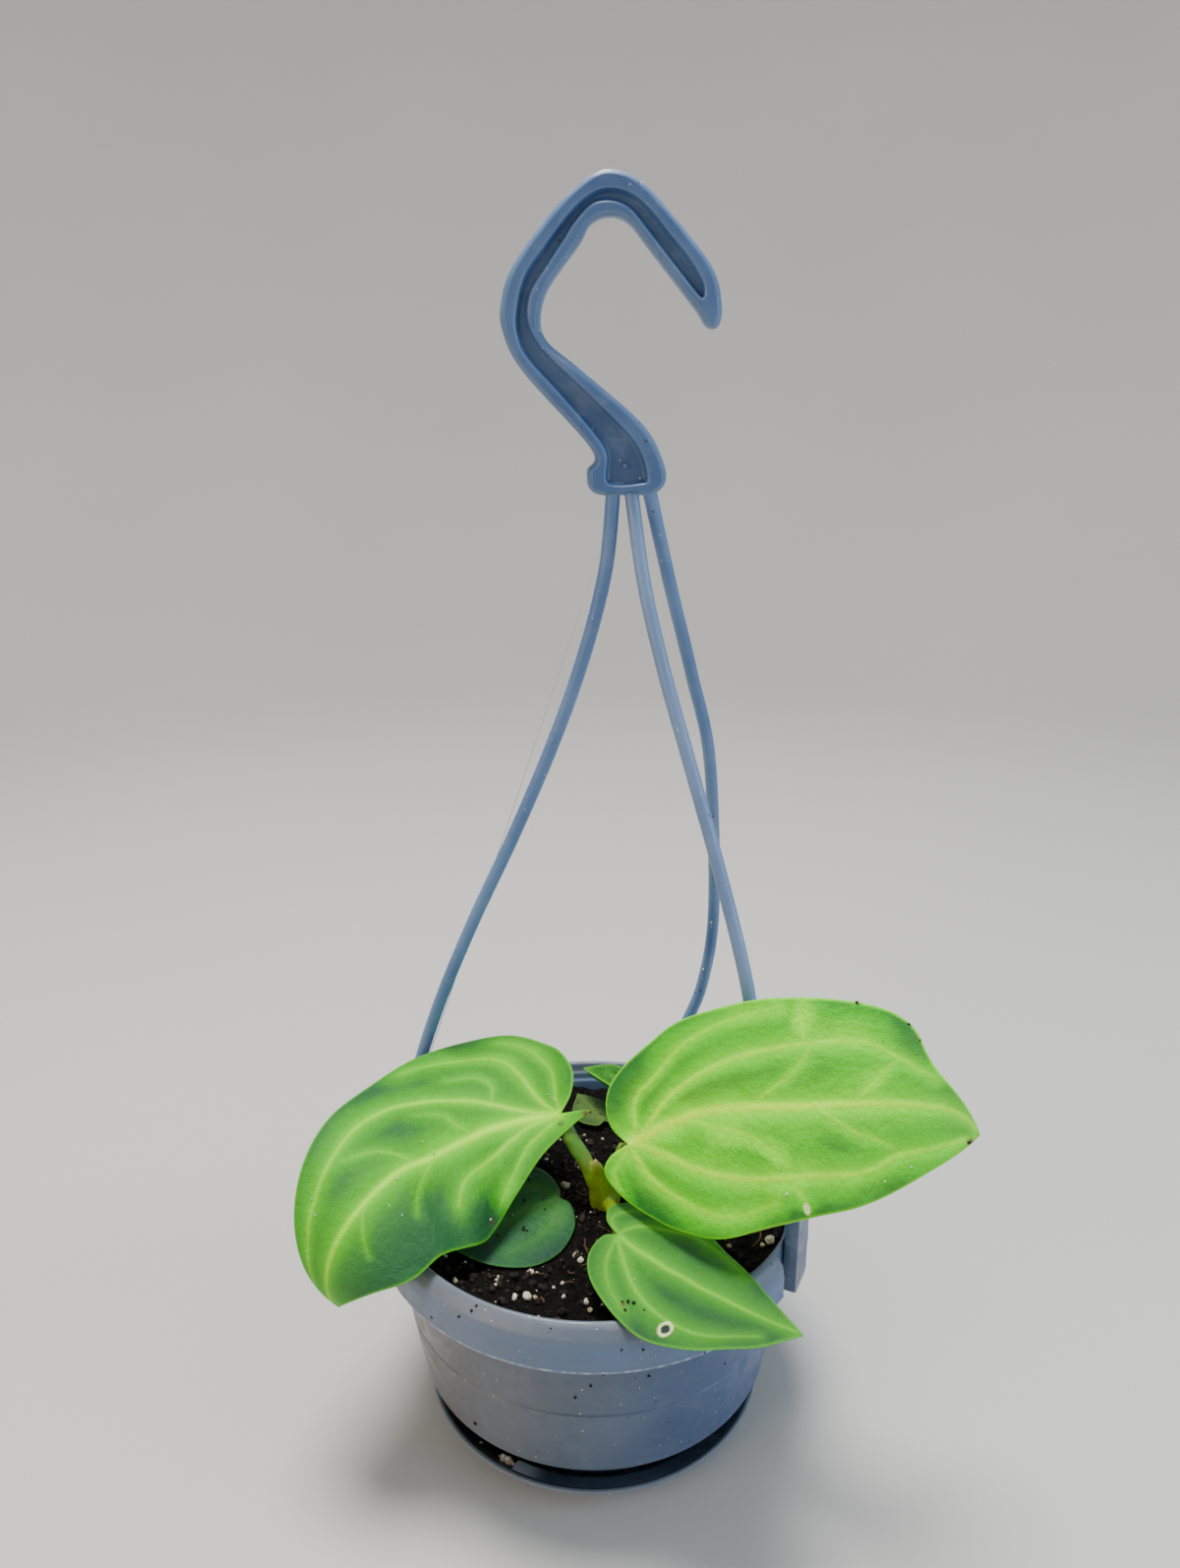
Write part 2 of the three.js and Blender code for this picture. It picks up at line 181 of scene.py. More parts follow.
def lathe(profile, segments, shape=None):
    """A ring surface from (radius, height) points; shape may move the points by angle."""
    profile = np.asarray(profile, float)
    angles = circle(segments)[:, None]
    n = len(profile)
    r, z = (np.repeat(profile[None, :, k], segments, 0) for k in (0, 1))
    if shape:
        r, z = shape(angles, r, z)
    verts = np.stack([r * np.cos(angles), r * np.sin(angles), z], -1).reshape(-1, 3)
    faces = []
    for i in range(segments):
        a, b = i * n, (i + 1) % segments * n
        faces += [[a + k, b + k, b + k + 1, a + k + 1] for k in range(n - 1)]
    return verts, faces


def rounded(corners, radius, steps=4):
    """A profile whose inner corners are rounded."""
    p = np.asarray(corners, float)
    out = [p[0]]
    for before, corner, after in zip(p, p[1:], p[2:]):
        a, b = before - corner, after - corner
        la, lb = np.linalg.norm(a), np.linalg.norm(b)
        cut = min(radius, la * 0.45, lb * 0.45)
        start, end = corner + a / la * cut, corner + b / lb * cut
        for t in np.linspace(0, 1, steps):
            out.append((1 - t) ** 2 * start + 2 * t * (1 - t) * corner + t**2 * end)
    return np.array([*out, p[-1]])


def tube(points, radii, sides=16, flat=1.0):
    """A closed tube along points, with a radius for each point and slightly raised ends."""
    p = np.asarray(points, float)
    radii = np.broadcast_to(np.asarray(radii, float), (len(p),))
    tangent = unit(np.gradient(p, axis=0))
    side = np.cross(tangent[0], [0.0, 0.0, 1.0])
    if np.linalg.norm(side) < 0.2:
        side = np.cross(tangent[0], [0.0, 1.0, 0.0])
    rings, turn = [], circle(sides)[:, None]
    for q, t, r in zip(p, tangent, radii):
        side = unit(side - t * side.dot(t))
        rings.append(q + r * (np.cos(turn) * side + flat * np.sin(turn) * np.cross(t, side)))
    ends = [p[0] - tangent[0] * radii[0] * 0.4, p[-1] + tangent[-1] * radii[-1] * 0.4]
    faces = bands(len(p), sides)
    low, last = len(p) * sides, (len(p) - 1) * sides
    for k in range(sides):
        m = (k + 1) % sides
        faces += [[low, m, k], [low + 1, last + k, last + m]]
    return np.vstack(rings + ends), faces


def ball(level):
    """Points and triangles of a round ball of radius 1, made from a solid with 20 faces."""
    golden = (1 + 5**0.5) / 2
    v = np.array([np.roll((0, a, b * golden), k) for k in range(3) for a in (-1, 1) for b in (-1, 1)])
    near = v @ v.T > 0
    f = [t for t in itertools.permutations(range(12), 3) if t[0] == min(t) and near[np.ix_(t, t)].all()]
    f = np.array([t for t in f if np.linalg.det(v[list(t)]) > 0])
    v = unit(v)
    for _ in range(level):
        edges = np.sort(f[:, [0, 1, 1, 2, 2, 0]].reshape(-1, 2))
        edges, which = np.unique(edges, axis=0, return_inverse=True)
        a, b, c = f.T
        ab, bc, ca = which.reshape(-1, 3).T + len(v)
        f = np.stack([a, ab, ca, b, bc, ab, c, ca, bc, ab, bc, ca], 1).reshape(-1, 3)
        v = np.vstack([v, unit(v[edges].sum(1))])
    return v, f


def grains(name, centres, sizes, skin, level, rough, squash, shade=None):
    """Many uneven grains as one piece. shade turns their random tones, from 0 to 1, into others."""
    sphere, triangles = ball(level)
    verts, faces, tones = [], [], []
    for i, (centre, size) in enumerate(zip(centres, sizes)):
        bumps = 1 + rough * noise(sphere * 1.3 + i * 7.7, 1.0, 3)
        bumps += 0.5 * rough * noise(sphere * 2.9 + i * 3.1, 1.0, 5)
        scale = 1 - squash * rng.random(3)
        spin = np.array(Euler(tuple(rng.normal(size=3) * 2)).to_matrix())
        verts.append((sphere * bumps[:, None] * scale * size) @ spin.T + centre)
        faces.append(triangles + i * len(sphere))
        tones.append(rng.random())
    tones = shade(np.array(tones)) if shade else tones
    mesh = np.vstack(verts), np.vstack(faces)
    piece(name, mesh, skin, values={"tone": np.repeat(tones, len(sphere))})


def inside(points, polygon):
    """True for each point that lies in the closed polygon."""
    x, y = points.T
    hit = np.zeros(len(points), bool)
    for (x0, y0), (x1, y1) in zip(polygon, np.roll(polygon, -1, 0)):
        if y0 != y1:
            crosses = (y0 > y) != (y1 > y)
            hit ^= crosses & (x < (x1 - x0) * (y - y0) / (y1 - y0) + x0)
    return hit


def distance(points, line):
    """Distance from each point to a polyline, and how far along it the nearest place is, 0 to 1."""
    best = np.full(len(points), 1e9)
    along = np.zeros(len(points))
    for i, (a, b) in enumerate(zip(line, line[1:])):
        d = b - a
        t = ramp(((points - a) @ d) / max(d @ d, 1e-12))
        away = np.linalg.norm(points - a - t[:, None] * d, axis=1)
        nearer = away < best
        best[nearer] = away[nearer]
        along[nearer] = (i + t[nearer]) / (len(line) - 1)
    return best, along


def flat_mesh(rings, step):
    """An even triangle mesh inside closed flat outlines; the first is the outside, the rest are holes."""
    outer, holes = rings[0], rings[1:]
    low, high = outer.min(0), outer.max(0)
    grid = []
    for k, y in enumerate(np.arange(low[1], high[1], step * 0.866)):
        x = np.arange(low[0] + (k % 2) * step / 2, high[0], step)
        grid.append(np.column_stack([x, np.full(len(x), y)]))
    grid = np.vstack(grid)
    grid = grid[inside(grid, outer)]
    for ring in holes:
        grid = grid[~inside(grid, ring)]
    edges, start = [], 0
    for ring in rings:
        n = len(ring)
        grid = grid[distance(grid, closed(ring))[0] > step * 0.6]
        edges += [(start + i, start + (i + 1) % n) for i in range(n)]
        start += n
    made = delaunay_2d_cdt([Vector(p) for p in np.vstack([*rings, grid])], edges, [], 1, 1e-6)
    flat = np.array([tuple(p) for p in made[0]])
    faces = np.array([f for f in made[2] if len(f) == 3])
    centres = flat[faces].mean(1)
    keep = inside(centres, outer)
    for ring in holes:
        keep &= ~inside(centres, ring)
    faces = faces[keep]
    a, b, c = (flat[faces[:, k]] for k in range(3))
    turned = (b[:, 0] - a[:, 0]) * (c[:, 1] - a[:, 1]) < (b[:, 1] - a[:, 1]) * (c[:, 0] - a[:, 0])
    faces[turned] = faces[turned][:, ::-1]
    return flat, faces


# Materials

PLASTIC_ROUGHNESS = 0.36


class Look:
    """A material in the making: its shader, its colour so far, and short ways to add nodes."""

    def __init__(self, name, roughness, specular):
        self.material = bpy.data.materials.new(name)
        self.material.use_nodes = True
        self.tree = self.material.node_tree
        self.shader = self.tree.nodes["Principled BSDF"]
        self.shader.inputs["Roughness"].default_value = roughness
        self.shader.inputs["Specular IOR Level"].default_value = specular
        metres = self.node("TexCoord", {}, "Object")
        self.place = self.node("Mapping", {"Vector": metres, "Scale": (1000, 1000, 1000)})
        self.colour = None

    def put(self, socket, value):
        if hasattr(value, "is_output"):
            self.tree.links.new(value, socket)
        elif isinstance(value, tuple) and len(value) == 3 and socket.type == "RGBA":
            socket.default_value = (*value, 1)
        else:
            socket.default_value = value

    def node(self, kind, inputs, output=0, **settings):
        """Adds a node and gives back one of its outputs."""
        made = self.tree.nodes.new("ShaderNode" + kind)
        for key, value in settings.items():
            setattr(made, key, value)
        for key, value in inputs.items():
            self.put(made.inputs[key], value)
        return made.outputs[output]

    def noise(self, scale, detail=3.0, roughness=0.5, place=None):
        inputs = {"Vector": place or self.place, "Scale": scale, "Detail": detail, "Roughness": roughness}
        return self.node("TexNoise", inputs)

    def value(self, name, output="Fac"):
        return self.node("Attribute", {}, output, attribute_name=name)

    def span(self, value, low, high, to_low=0.0, to_high=1.0):
        """A smooth step from to_low to to_high while the value goes from low to high."""
        inputs = {"Value": value, "From Min": low, "From Max": high, "To Min": to_low, "To Max": to_high}
        return self.node("MapRange", inputs, interpolation_type="SMOOTHSTEP")

    def patches(self, scale, detail, roughness, low, high, most=1.0, place=None):
        """Soft patches where the noise passes from low to high."""
        return self.span(self.noise(scale, detail, roughness, place), low, high, 0.0, most)

    def dots(self, scale, core, rim, place=None):
        """Scattered round dots that fade out between core and rim from their middles."""
        away = self.node("TexVoronoi", {"Vector": place or self.place, "Scale": scale})
        return self.span(away, core, rim, 1.0, 0.0)

    def times(self, a, b):
        return self.node("Math", {0: a, 1: b}, operation="MULTIPLY")

    def plus(self, a, b):
        return self.node("Math", {0: a, 1: b}, operation="ADD")

    def mix(self, factor, a, b):
        return self.node("Mix", {0: factor, 6: a, 7: b}, 2, data_type="RGBA")

    def over(self, factor, colour):
        """Lays a colour over the colour so far."""
        self.colour = self.mix(factor, self.colour, colour)

    def stretched(self, x, y, z):
        return self.node("Mapping", {"Vector": self.place, "Scale": (x, y, z)})

    def finish(self, roughness=None, height=None, depth=0.1):
        """Links the colour, and where given the roughness and bumps of a depth in millimetres."""
        self.put(self.shader.inputs["Base Color"], self.colour)
        if roughness is not None:
            self.put(self.shader.inputs["Roughness"], roughness)
        if height is not None:
            bump = {"Strength": 1, "Distance": depth * MM, "Height": height}
            self.put(self.shader.inputs["Normal"], self.node("Bump", bump))
        return self.material


def leaf_look(name, greens, roughness, dirt=0.0):
    """Blade with paler veins, soft halos beside them, darker fields, a pale margin and some dust."""
    look = Look(name, roughness, 0.27)
    look.colour, dark, vein, pale = (tint(*green) for green in greens)
    place = look.value("flat", "Vector")
    clouds = look.span(look.noise(0.07, 2.0, 0.5, place), 0.35, 0.7, -0.18, 0.18)
    field = look.plus(look.value("tone"), clouds)
    look.over(look.span(field, 0.0, 1.0), dark)
    look.over(look.span(field, -1.0, 0.0, 1.0, 0.0), pale)
    mottle = look.noise(0.8, 4.0, 0.65, place)
    look.over(look.span(mottle, 0.35, 0.75, 0.0, 0.34), dark)
    look.over(look.value("halo"), pale)
    look.over(look.value("vein"), vein)
    look.over(look.value("margin"), pale)
    rare = look.patches(0.09, 1.0, 0.5, 0.5, 0.56, 0.6, place)
    look.over(look.times(look.dots(0.2, 0.03, 0.07, place), rare), tint(52, 60, 30))
    dust_and_shading = look.patches(0.12, 2.0, 0.5, 0.5, 0.62, 0.45, place)
    look.over(look.times(look.dots(0.5, 0.03, 0.06, place), dust_and_shading), tint(216, 222, 196))
    look.over(look.value("stain"), tint(90, 58, 30))
    look.over(look.value("scar"), tint(236, 222, 176))
    if dirt:
        look.over(look.patches(0.35, 4.0, 0.65, 0.56, 0.7, dirt, place), tint(36, 38, 24))
    look.over(look.value("under"), look.mix(look.value("vein"), pale, vein))
    height = look.plus(look.noise(2.2, 4.0, 0.6, place), look.times(look.noise(0.5, 2.0, 0.5, place), 1.5))
    gloss = look.span(mottle, 0.3, 0.7, roughness - 0.06, roughness + 0.08)
    look.shader.inputs["Subsurface Weight"].default_value = 0.08
    look.shader.inputs["Subsurface Radius"].default_value = (0.4, 0.7, 0.15)
    look.shader.inputs["Subsurface Scale"].default_value = MM
    return look.finish(gloss, height, 0.3)


def pot_tones(look):
    """Greyer at the left and bluer at the right, painted warm and cool light; a paler collar, painted light;
    a grey lip; and a worn edge with a painted highlight.
    """
    x, z = (look.node("SeparateXYZ", {0: look.place}, axis) for axis in (0, 2))
    # Painted warm light on the left side and painted cool light on the right side.
    look.over(look.span(x, -48, 0, 0.6, 0.0), tint(108, 100, 92))
    look.over(look.span(x, -15, 48, 0.0, 0.75), tint(50, 76, 120))
    # Painted light: the collar is painted paler than the wall below it, as if lit from above.
    above = look.span(z, COLLAR_EDGE - 0.7, COLLAR_EDGE - 0.3)
    look.over(look.times(above, 0.5), tint(92, 116, 150))
    look.over(look.span(z, COLLAR_EDGE + 6, COLLAR_EDGE + 10, 0.0, 0.55), tint(92, 92, 92))
    # A pale line along the collar's lower edge, broken into chips: partly wear, partly a painted highlight.
    wear_and_highlight = look.times(above, look.span(z, COLLAR_EDGE + 0.1, COLLAR_EDGE + 0.4, 0.8, 0.0))
    chips = look.span(look.noise(0.35, 3.0, 0.6), 0.42, 0.62, 0.15, 1.0)
    look.over(look.times(wear_and_highlight, chips), tint(168, 180, 192))


def painted_shading_tones(look):
    """Darker, a painted shade, where the piece's painted shading value is above 0, and paler, a painted
    highlight, where it is below.
    """
    painted_shading = look.value("painted_shading")
    look.over(painted_shading, tint(12, 14, 16))
    look.over(look.span(painted_shading, -1.0, 0.0, 1.0, 0.0), tint(176, 186, 196))


def plastic_look(name, base, pale, dusty, dust, own_tones=painted_shading_tones):
    """Moulded plastic with soft tone changes, faint scratches, a film of dust and two kinds of specks."""
    look = Look(name, PLASTIC_ROUGHNESS, 0.5)
    look.colour = look.mix(look.patches(0.045, 2.0, 0.5, 0.35, 0.7), tint(*base), tint(*pale))
    own_tones(look)
    film = look.patches(0.16, 5.0, 0.65, 0.5, 0.72, dust)
    look.over(film, tint(*dusty))
    scratches = look.patches(0.9, 2.0, 0.4, 0.68, 0.76, 0.4, look.stretched(0.25, 0.25, 2.2))
    look.over(scratches, tint(*dusty))
    rare = look.patches(0.12, 1.0, 0.5, 0.5, 0.58, 0.7)
    look.over(look.times(look.dots(0.33, 0.05, 0.09), rare), tint(196, 200, 204))
    few = look.patches(0.1, 1.0, 0.5, 0.54, 0.6, 0.75, look.stretched(1.0, 1.0, 1.3))
    look.over(look.times(look.dots(0.24, 0.06, 0.12), few), tint(48, 40, 34))
    height = look.plus(look.noise(1.4, 3.0, 0.6), look.times(look.noise(0.12, 2.0), 2.5))
    uneven = look.span(look.noise(0.2, 3.0), 0.3, 0.7, -0.07, 0.1)
    return look.finish(look.plus(uneven, look.plus(film, PLASTIC_ROUGHNESS)), height, 0.05)


def soil_look():
    look = Look("potting_mix", 0.95, 0.12)
    look.colour = look.mix(look.patches(0.9, 5.0, 0.7, 0.35, 0.7), tint(5, 4, 4), tint(20, 16, 13))
    flecks = look.times(look.dots(0.9, 0.1, 0.22), look.patches(0.25, 2.0, 0.5, 0.5, 0.6, 0.5))
    look.over(flecks, tint(96, 72, 50))
    wet = look.span(look.noise(0.4, 3.0), 0.45, 0.6, 0.7, 0.98)
    return look.finish(wet, look.noise(1.6, 5.0, 0.75), 0.6)


def grain_look(name, dark, light, roughness, depth, own_tone=True):
    """Small grains, each with its own tone between two colours."""
    look = Look(name, roughness, 0.3)
    tone = look.value("tone") if own_tone else look.noise(0.2, 2.0)
    look.colour = look.mix(tone, tint(*dark), tint(*light))
    look.over(look.patches(1.6, 4.0, 0.7, 0.45, 0.72, 0.5), tint(*dark))
    return look.finish(None, look.noise(2.4, 4.0, 0.7), depth)


def stem_look():
    look = Look("stem", 0.4, 0.45)
    look.colour = look.mix(look.value("green"), tint(110, 140, 8), tint(72, 134, 40))
    streaks = look.noise(0.7, 3.0, 0.6, look.stretched(1.2, 1.2, 0.25))
    look.over(look.span(streaks, 0.35, 0.7, 0.0, 0.5), tint(104, 116, 22))
    spots = look.patches(0.8, 4.0, 0.65, 0.62, 0.7)
    look.over(look.times(spots, look.value("dirt")), tint(40, 34, 18))
    look.over(look.value("pink"), tint(170, 156, 84))
    return look.finish(look.span(streaks, 0.3, 0.7, 0.3, 0.5), streaks, 0.25)


# Leaf blades: the same surfaces as the solids, with veins, waves and a thin rounded margin


def through(values, x):
    """A smooth curve through three values, at 0, a half and 1."""
    a, b, c = values
    return a + (-3 * a + 4 * b - c) * x + (2 * a - 4 * b + 2 * c) * x * x


class Leaf:
    """A blade's surface: s runs along the midrib and q across it, to the left above 0."""

    def __init__(self, base, length, heading, rise, roll, fold, cup, left, right):
        self.length, self.heading, self.rise, self.roll = length, heading, rise, roll
        self.fold, self.cup = fold, cup
        self.left = [(0, 0), *left, (length, 0)]
        self.right = [(0, 0), *right, (length, 0)]
        self.x = np.linspace(0, 1, 401)
        t = self.direction(self.x)
        steps = (t[1:] + t[:-1]) / 2 * length / 400
        self.line = np.vstack([[base], np.asarray(base) + np.cumsum(steps, 0)])

    def direction(self, x):
        turn, rise = np.radians(through(self.heading, x)), np.radians(through(self.rise, x))
        return np.stack([np.cos(rise) * np.cos(turn), np.cos(rise) * np.sin(turn), np.sin(rise)], -1)

    def point(self, s, q):
        x = ramp(s / self.length)
        along = self.direction(x)
        middle = np.stack([np.interp(x, self.x, values) for values in self.line.T], -1)
        middle = middle + along * np.minimum(s, 0)[:, None]
        turn = np.radians(through(self.heading, x))
        level = np.stack([-np.sin(turn), np.cos(turn), 0 * turn], -1)
        up = np.cross(along, level)
        roll = np.radians(through(self.roll, x))[:, None]
        side = level * np.cos(roll) + up * np.sin(roll)
        normal = up * np.cos(roll) - level * np.sin(roll)
        cup = np.radians(np.where(q < 0, self.cup[1], self.cup[0]))
        fold = np.radians(self.fold[0] + (self.fold[1] - self.fold[0]) * x)
        width = np.abs(q)
        across = (np.sin(fold + cup * width) - np.sin(fold)) / cup * np.where(q < 0, -1, 1)
        lift = (np.cos(fold) - np.cos(fold + cup * width)) / cup
        return middle + side * across[:, None] + normal * lift[:, None]

    def normal(self, s, q):
        e = 0.3
        ahead = self.point(s + e, q) - self.point(s - e, q)
        aside = self.point(s, q + e) - self.point(s, q - e)
        return unit(np.cross(ahead, aside))

    def ring(self, step):
        """The outline, evenly spaced."""
        upper = spline(self.left, 200)
        lower = spline([(s, -q) for s, q in self.right], 200)[::-1]
        return even(closed(np.vstack([upper, lower[1:-1]])), step=step)[:-1]


def vein_masks(flat, veins):
    """Strength of the veins and of their halos, and the distance to the nearest vein in its widths."""
    core, halo, near = np.zeros(len(flat)), np.zeros(len(flat)), np.full(len(flat), 1e9)
    for start, end, *route in veins:
        away, along = distance(flat, spline(np.reshape(route, (-1, 2)), 40))
        width = 0.7 * (start + (end - start) * along)
        strength = ramp(0.06 + 0.58 * start) * (1 - 0.6 * along**1.5)
        core = np.maximum(core, strength * bell(away / (width + 0.12)))
        glow = 0.6 * bell(away / (2.3 * width + 0.9)) + 0.4 * bell(away / (4.6 * start + 1.6))
        halo = np.maximum(halo, np.sqrt(strength) * glow)
        near = np.minimum(near, away / (0.6 + 0.4 * start))
    return core, halo, near


def leaf_skin(leaf, flat, top, upper, lower):
    """Top and underside at two heights over the surface and a rounded margin, and the margin's points."""
    normal, surface = leaf.normal(*flat.T), leaf.point(*flat.T)
    upper, lower = (surface + normal * height[:, None] for height in (upper, lower))
    n = len(flat)
    pairs = dict.fromkeys((t[k], t[(k + 1) % 3]) for t in top.tolist() for k in range(3))
    rim = [(i, j) for i, j in pairs if (j, i) not in pairs]
    border = sorted({i for i, _ in rim})
    extra = {i: 2 * n + k for k, i in enumerate(border)}
    faces = top.tolist() + (top[:, ::-1] + n).tolist()
    outward = np.zeros((n, 3))
    for i, j in rim:
        outward[[i, j]] += unit(np.cross(surface[j] - surface[i], normal[i]))
        faces += [[j, i, extra[i], extra[j]], [extra[j], extra[i], i + n, j + n]]
    margin = (upper[border] + lower[border]) / 2 + unit(outward[border]) * 0.14
    return (np.vstack([upper, lower, margin]), faces), border


def blade(
    node, look, leaf, veins, waves=None, step=0.5, thick=0.5, hole=None, tones=(), stains=(), scars=()
):
    """One leaf as a piece, with the masks that its material reads."""
    rings = [leaf.ring(step)] + ([] if hole is None else [hole])
    flat, top = flat_mesh(rings, step)
    s, q = flat.T
    edge = np.min([distance(flat, closed(ring))[0] for ring in rings], axis=0)
    core, halo, near = vein_masks(flat, veins)
    inner = ramp(edge / 3)
    height = 0.25 * core - 0.75 * halo * inner + 0.2 * noise(flat, 5.0, 2) * inner
    if waves:
        height = height + waves(s, q)
    tucked = 0.12 * ramp(1 - edge / 0.5)
    ribs = 0.35 * core * (core > 0.5)
    mesh, border = leaf_skin(leaf, flat, top, height - tucked, height - thick + tucked - ribs)

    tone = ramp((near - 1.5) / 6) - 0.25
    for at, off, length, width, amount in tones:
        tone = tone + amount * bell((s - at) / length, (q - off) / width)
    stain, scar = np.zeros(len(flat)), np.zeros(len(flat))
    for at, off, radius in stains:
        away = np.hypot(s - at, q - off) + 0.35 * noise(flat, 0.9, 8)
        stain = np.maximum(stain, ramp(1.4 - away / radius))
    for at, off, radius in scars:
        away = np.hypot((s - at) / 0.75, q - off) + 0.15 * noise(flat, 0.8, 8)
        scar = np.maximum(scar, bell(((away - radius) / 0.4) ** 2))
    margin = 0.8 * ramp(1 - edge / 0.7) ** 1.5
    if hole is not None:
        margin = np.where(distance(flat, closed(hole))[0] < 1, 0, margin)
    masks = {"vein": core, "halo": halo, "tone": tone, "margin": margin, "stain": stain, "scar": scar}
    values = {key: np.concatenate([mask, mask, mask[border]]) for key, mask in masks.items()}
    values["under"] = np.repeat([0, 1, 0.4], [len(flat), len(flat), len(border)])
    spread = np.vstack([flat, flat, flat[border]])
    values["flat"] = np.column_stack([spread, np.zeros(len(spread))])
    piece(f"{node}_blade", mesh, look, (node,), values)


# Each leaf's colours are those of the blade, its dark fields, its veins and its pale margin
GREENS = {
    "right": ((62, 184, 4), (22, 108, 40), (206, 255, 30), (136, 240, 8)),
    # The left leaf's dark colour is bluish, partly a painted sheen.
    "left": ((44, 134, 8), (24, 84, 42), (180, 246, 30), (96, 194, 14)),
    "front": ((40, 112, 26), (20, 72, 36), (146, 218, 36), (80, 164, 30)),
    # The small leaf's greens are darker: painted shade, as it lies under the other leaves.
    "small": ((26, 86, 42), (18, 62, 48), (72, 130, 48), (48, 110, 40)),
    "old": ((56, 88, 38), (38, 60, 28), (112, 132, 50), (82, 110, 44)),
}

# Each vein is its width at the start and at the end, and then its route as pairs of s and q

leaf_right = Leaf(
    base=(9, -20, 94), length=101.5, heading=(-23, -25.5, 36), rise=(37.5, 19, -48.5), roll=(62, 64, 60),
    fold=(3, 0), cup=(-0.47, -0.47),
    left=[(-3.5, 6), (-2.5, 12.5), (3, 17.5), (14, 21.5), (29, 24.5), (62, 22.5), (76, 19), (84, 9)],
    right=[(-7, 1), (-10, 5), (-5, 14), (6, 23), (22, 28.5), (48, 27), (72, 22), (87.5, 12)],
)
veins_right = [
    (1.7, 0.5, -1, 0, 13, 0.7, 24, 0.9, 34, 0, 48, -1.5, 62, -1.2, 75, 0.2, 90, 1.5, 99, 0),
    (0.9, 0.5, 0, 0.5, 6, 1.6, 16, 6.8, 26, 9.5, 35, 11, 52, 12.3, 67, 13.2, 75, 10.3, 84, 7),
    (0.7, 0.35, 0, 0.5, 3.5, 3, 5, 8, 8, 11, 13, 12.7, 23, 17.7, 35, 20.5, 50, 21.5),
    (1.1, 0.5, 0, -0.5, 3, -1, 11, -6.5, 19, -11.5, 27.5, -15, 40, -17.3, 60, -17, 69.5, -15.5, 77, -11.2,
     83, -9, 90, -6, 98, -2),
    (0.8, 0.4, 0, -1, 1, -3.5, 4, -10.5, 11, -17, 20, -22.5, 30, -24.5, 42, -23),
    (0.5, 0.4, 41, 0, 45, 2.2, 50.5, 5, 54, 8.3, 56.5, 12),
    (0.5, 0.35, 65, -1, 69, 3.2, 73, 8, 75, 10.5),
    (0.4, 0.3, 55, 12.5, 55, 18.5, 55.5, 22),
    (0.5, 0.4, 22, 0, 26, -2.5, 34, -5.4, 39, -8, 44, -11.5, 48.5, -16.5),
    (0.5, 0.4, 52, -1.5, 57.5, -2.6, 65.5, -7, 72, -8.5, 78, -11),
    (0.45, 0.3, -0.5, -1.5, -4, -2.8, -7, -5, -7, -10),
    (0.35, 0.25, 48.5, -16.7, 50, -20.3, 51.5, -24),
]

leaf_left = Leaf(
    base=(-9, -4.5, 93), length=91, heading=(174, 225, 213), rise=(-25.5, -4.5, -124), roll=(-33, -27, -22),
    fold=(0, 0), cup=(-0.75, -0.83),
    left=[(-8.5, 2), (-3.5, 4), (6.5, 9), (17, 17.5), (28, 25), (37, 26.5), (54, 23.5), (73, 19.5)],
    right=[(-4, 5.5), (-4.5, 13.5), (2, 24.5), (14, 33.5), (28, 32.5), (42, 27.5), (60, 20.5), (79, 8.5)],
)
veins_left = [
    (1.6, 0.6, 0, 0, 10, -1.3, 20, -1, 29, 0.5, 38, 1.5, 46, 0.6, 59, 0.5, 75, -0.3, 88, -0.5),
    (0.9, 0.4, 0, -0.5, 4, -1.6, 10, -4, 18, -8.6, 25, -12.5, 37, -16.7, 43, -17.6, 49, -17, 60, -13.2, 76,
     -7, 84, -4),
    (0.8, 0.35, 0, -0.5, 2, -1.5, 5.7, -7, 9, -15.6, 12, -21.3, 17.5, -25.4, 23.5, -27.5, 32, -28),
    (0.5, 0.3, 0, -1, 0.8, -4.7, 1, -12.8, 3.7, -19.5, 6.5, -24.6, 12, -29),
    (0.9, 0.35, 0, 0.2, 4, 0.4, 9.3, 1, 21.7, 7, 32, 10.7, 38, 16),
    (0.6, 0.3, 0, 0.5, 2.2, 1.6, 10, 5.8, 16, 12, 22, 18),
    (0.35, 0.25, 43, 0, 48.5, -7.2, 56.5, -12),
    (0.3, 0.2, 24, -0.5, 28, -5, 30, -9, 36, -12),
    (0.3, 0.2, 17, -9, 16, -14, 19, -18, 25, -20),
    (0.35, 0.25, 37, 2, 46, 7, 52, 12),
    (0.3, 0.2, 60, 0.5, 66, 5, 70, 9),
]

leaf_front = Leaf(
    base=(6.2, -33.3, 77), length=51.5, heading=(-45.5, -35.5, -32.5), rise=(-6, -2, -2), roll=(4, 4, 6),
    fold=(0, 0), cup=(-0.5, -0.5),
    left=[(-5.5, 1.5), (-8, 6), (-4, 12.5), (6, 17), (18, 16.5), (33, 10)],
    right=[(-2.5, 3), (-1, 9.5), (5, 15), (15, 18.5), (26, 18.5), (42, 9.5)],
)
veins_front = [
    (0.9, 0.4, 0, 0, 7, 0, 15, 0.2, 31, 0, 50, 0),
    (0.6, 0.3, 0, -0.3, 8.4, -6.6, 14.5, -10.2, 22.5, -12.4, 29, -12.2, 35, -10, 43, -5.3),
    (0.4, 0.25, 0, -0.5, 1, -3, 3.7, -8.6, 8.8, -13.5, 14, -16),
    (0.5, 0.25, 0, 0.3, 0.3, 3.6, 3.4, 8, 13, 12.7, 22.5, 13, 32, 9),
    (0.4, 0.25, -0.5, 0.5, -4.6, 2.2, -5, 5.6, -2, 10),
]

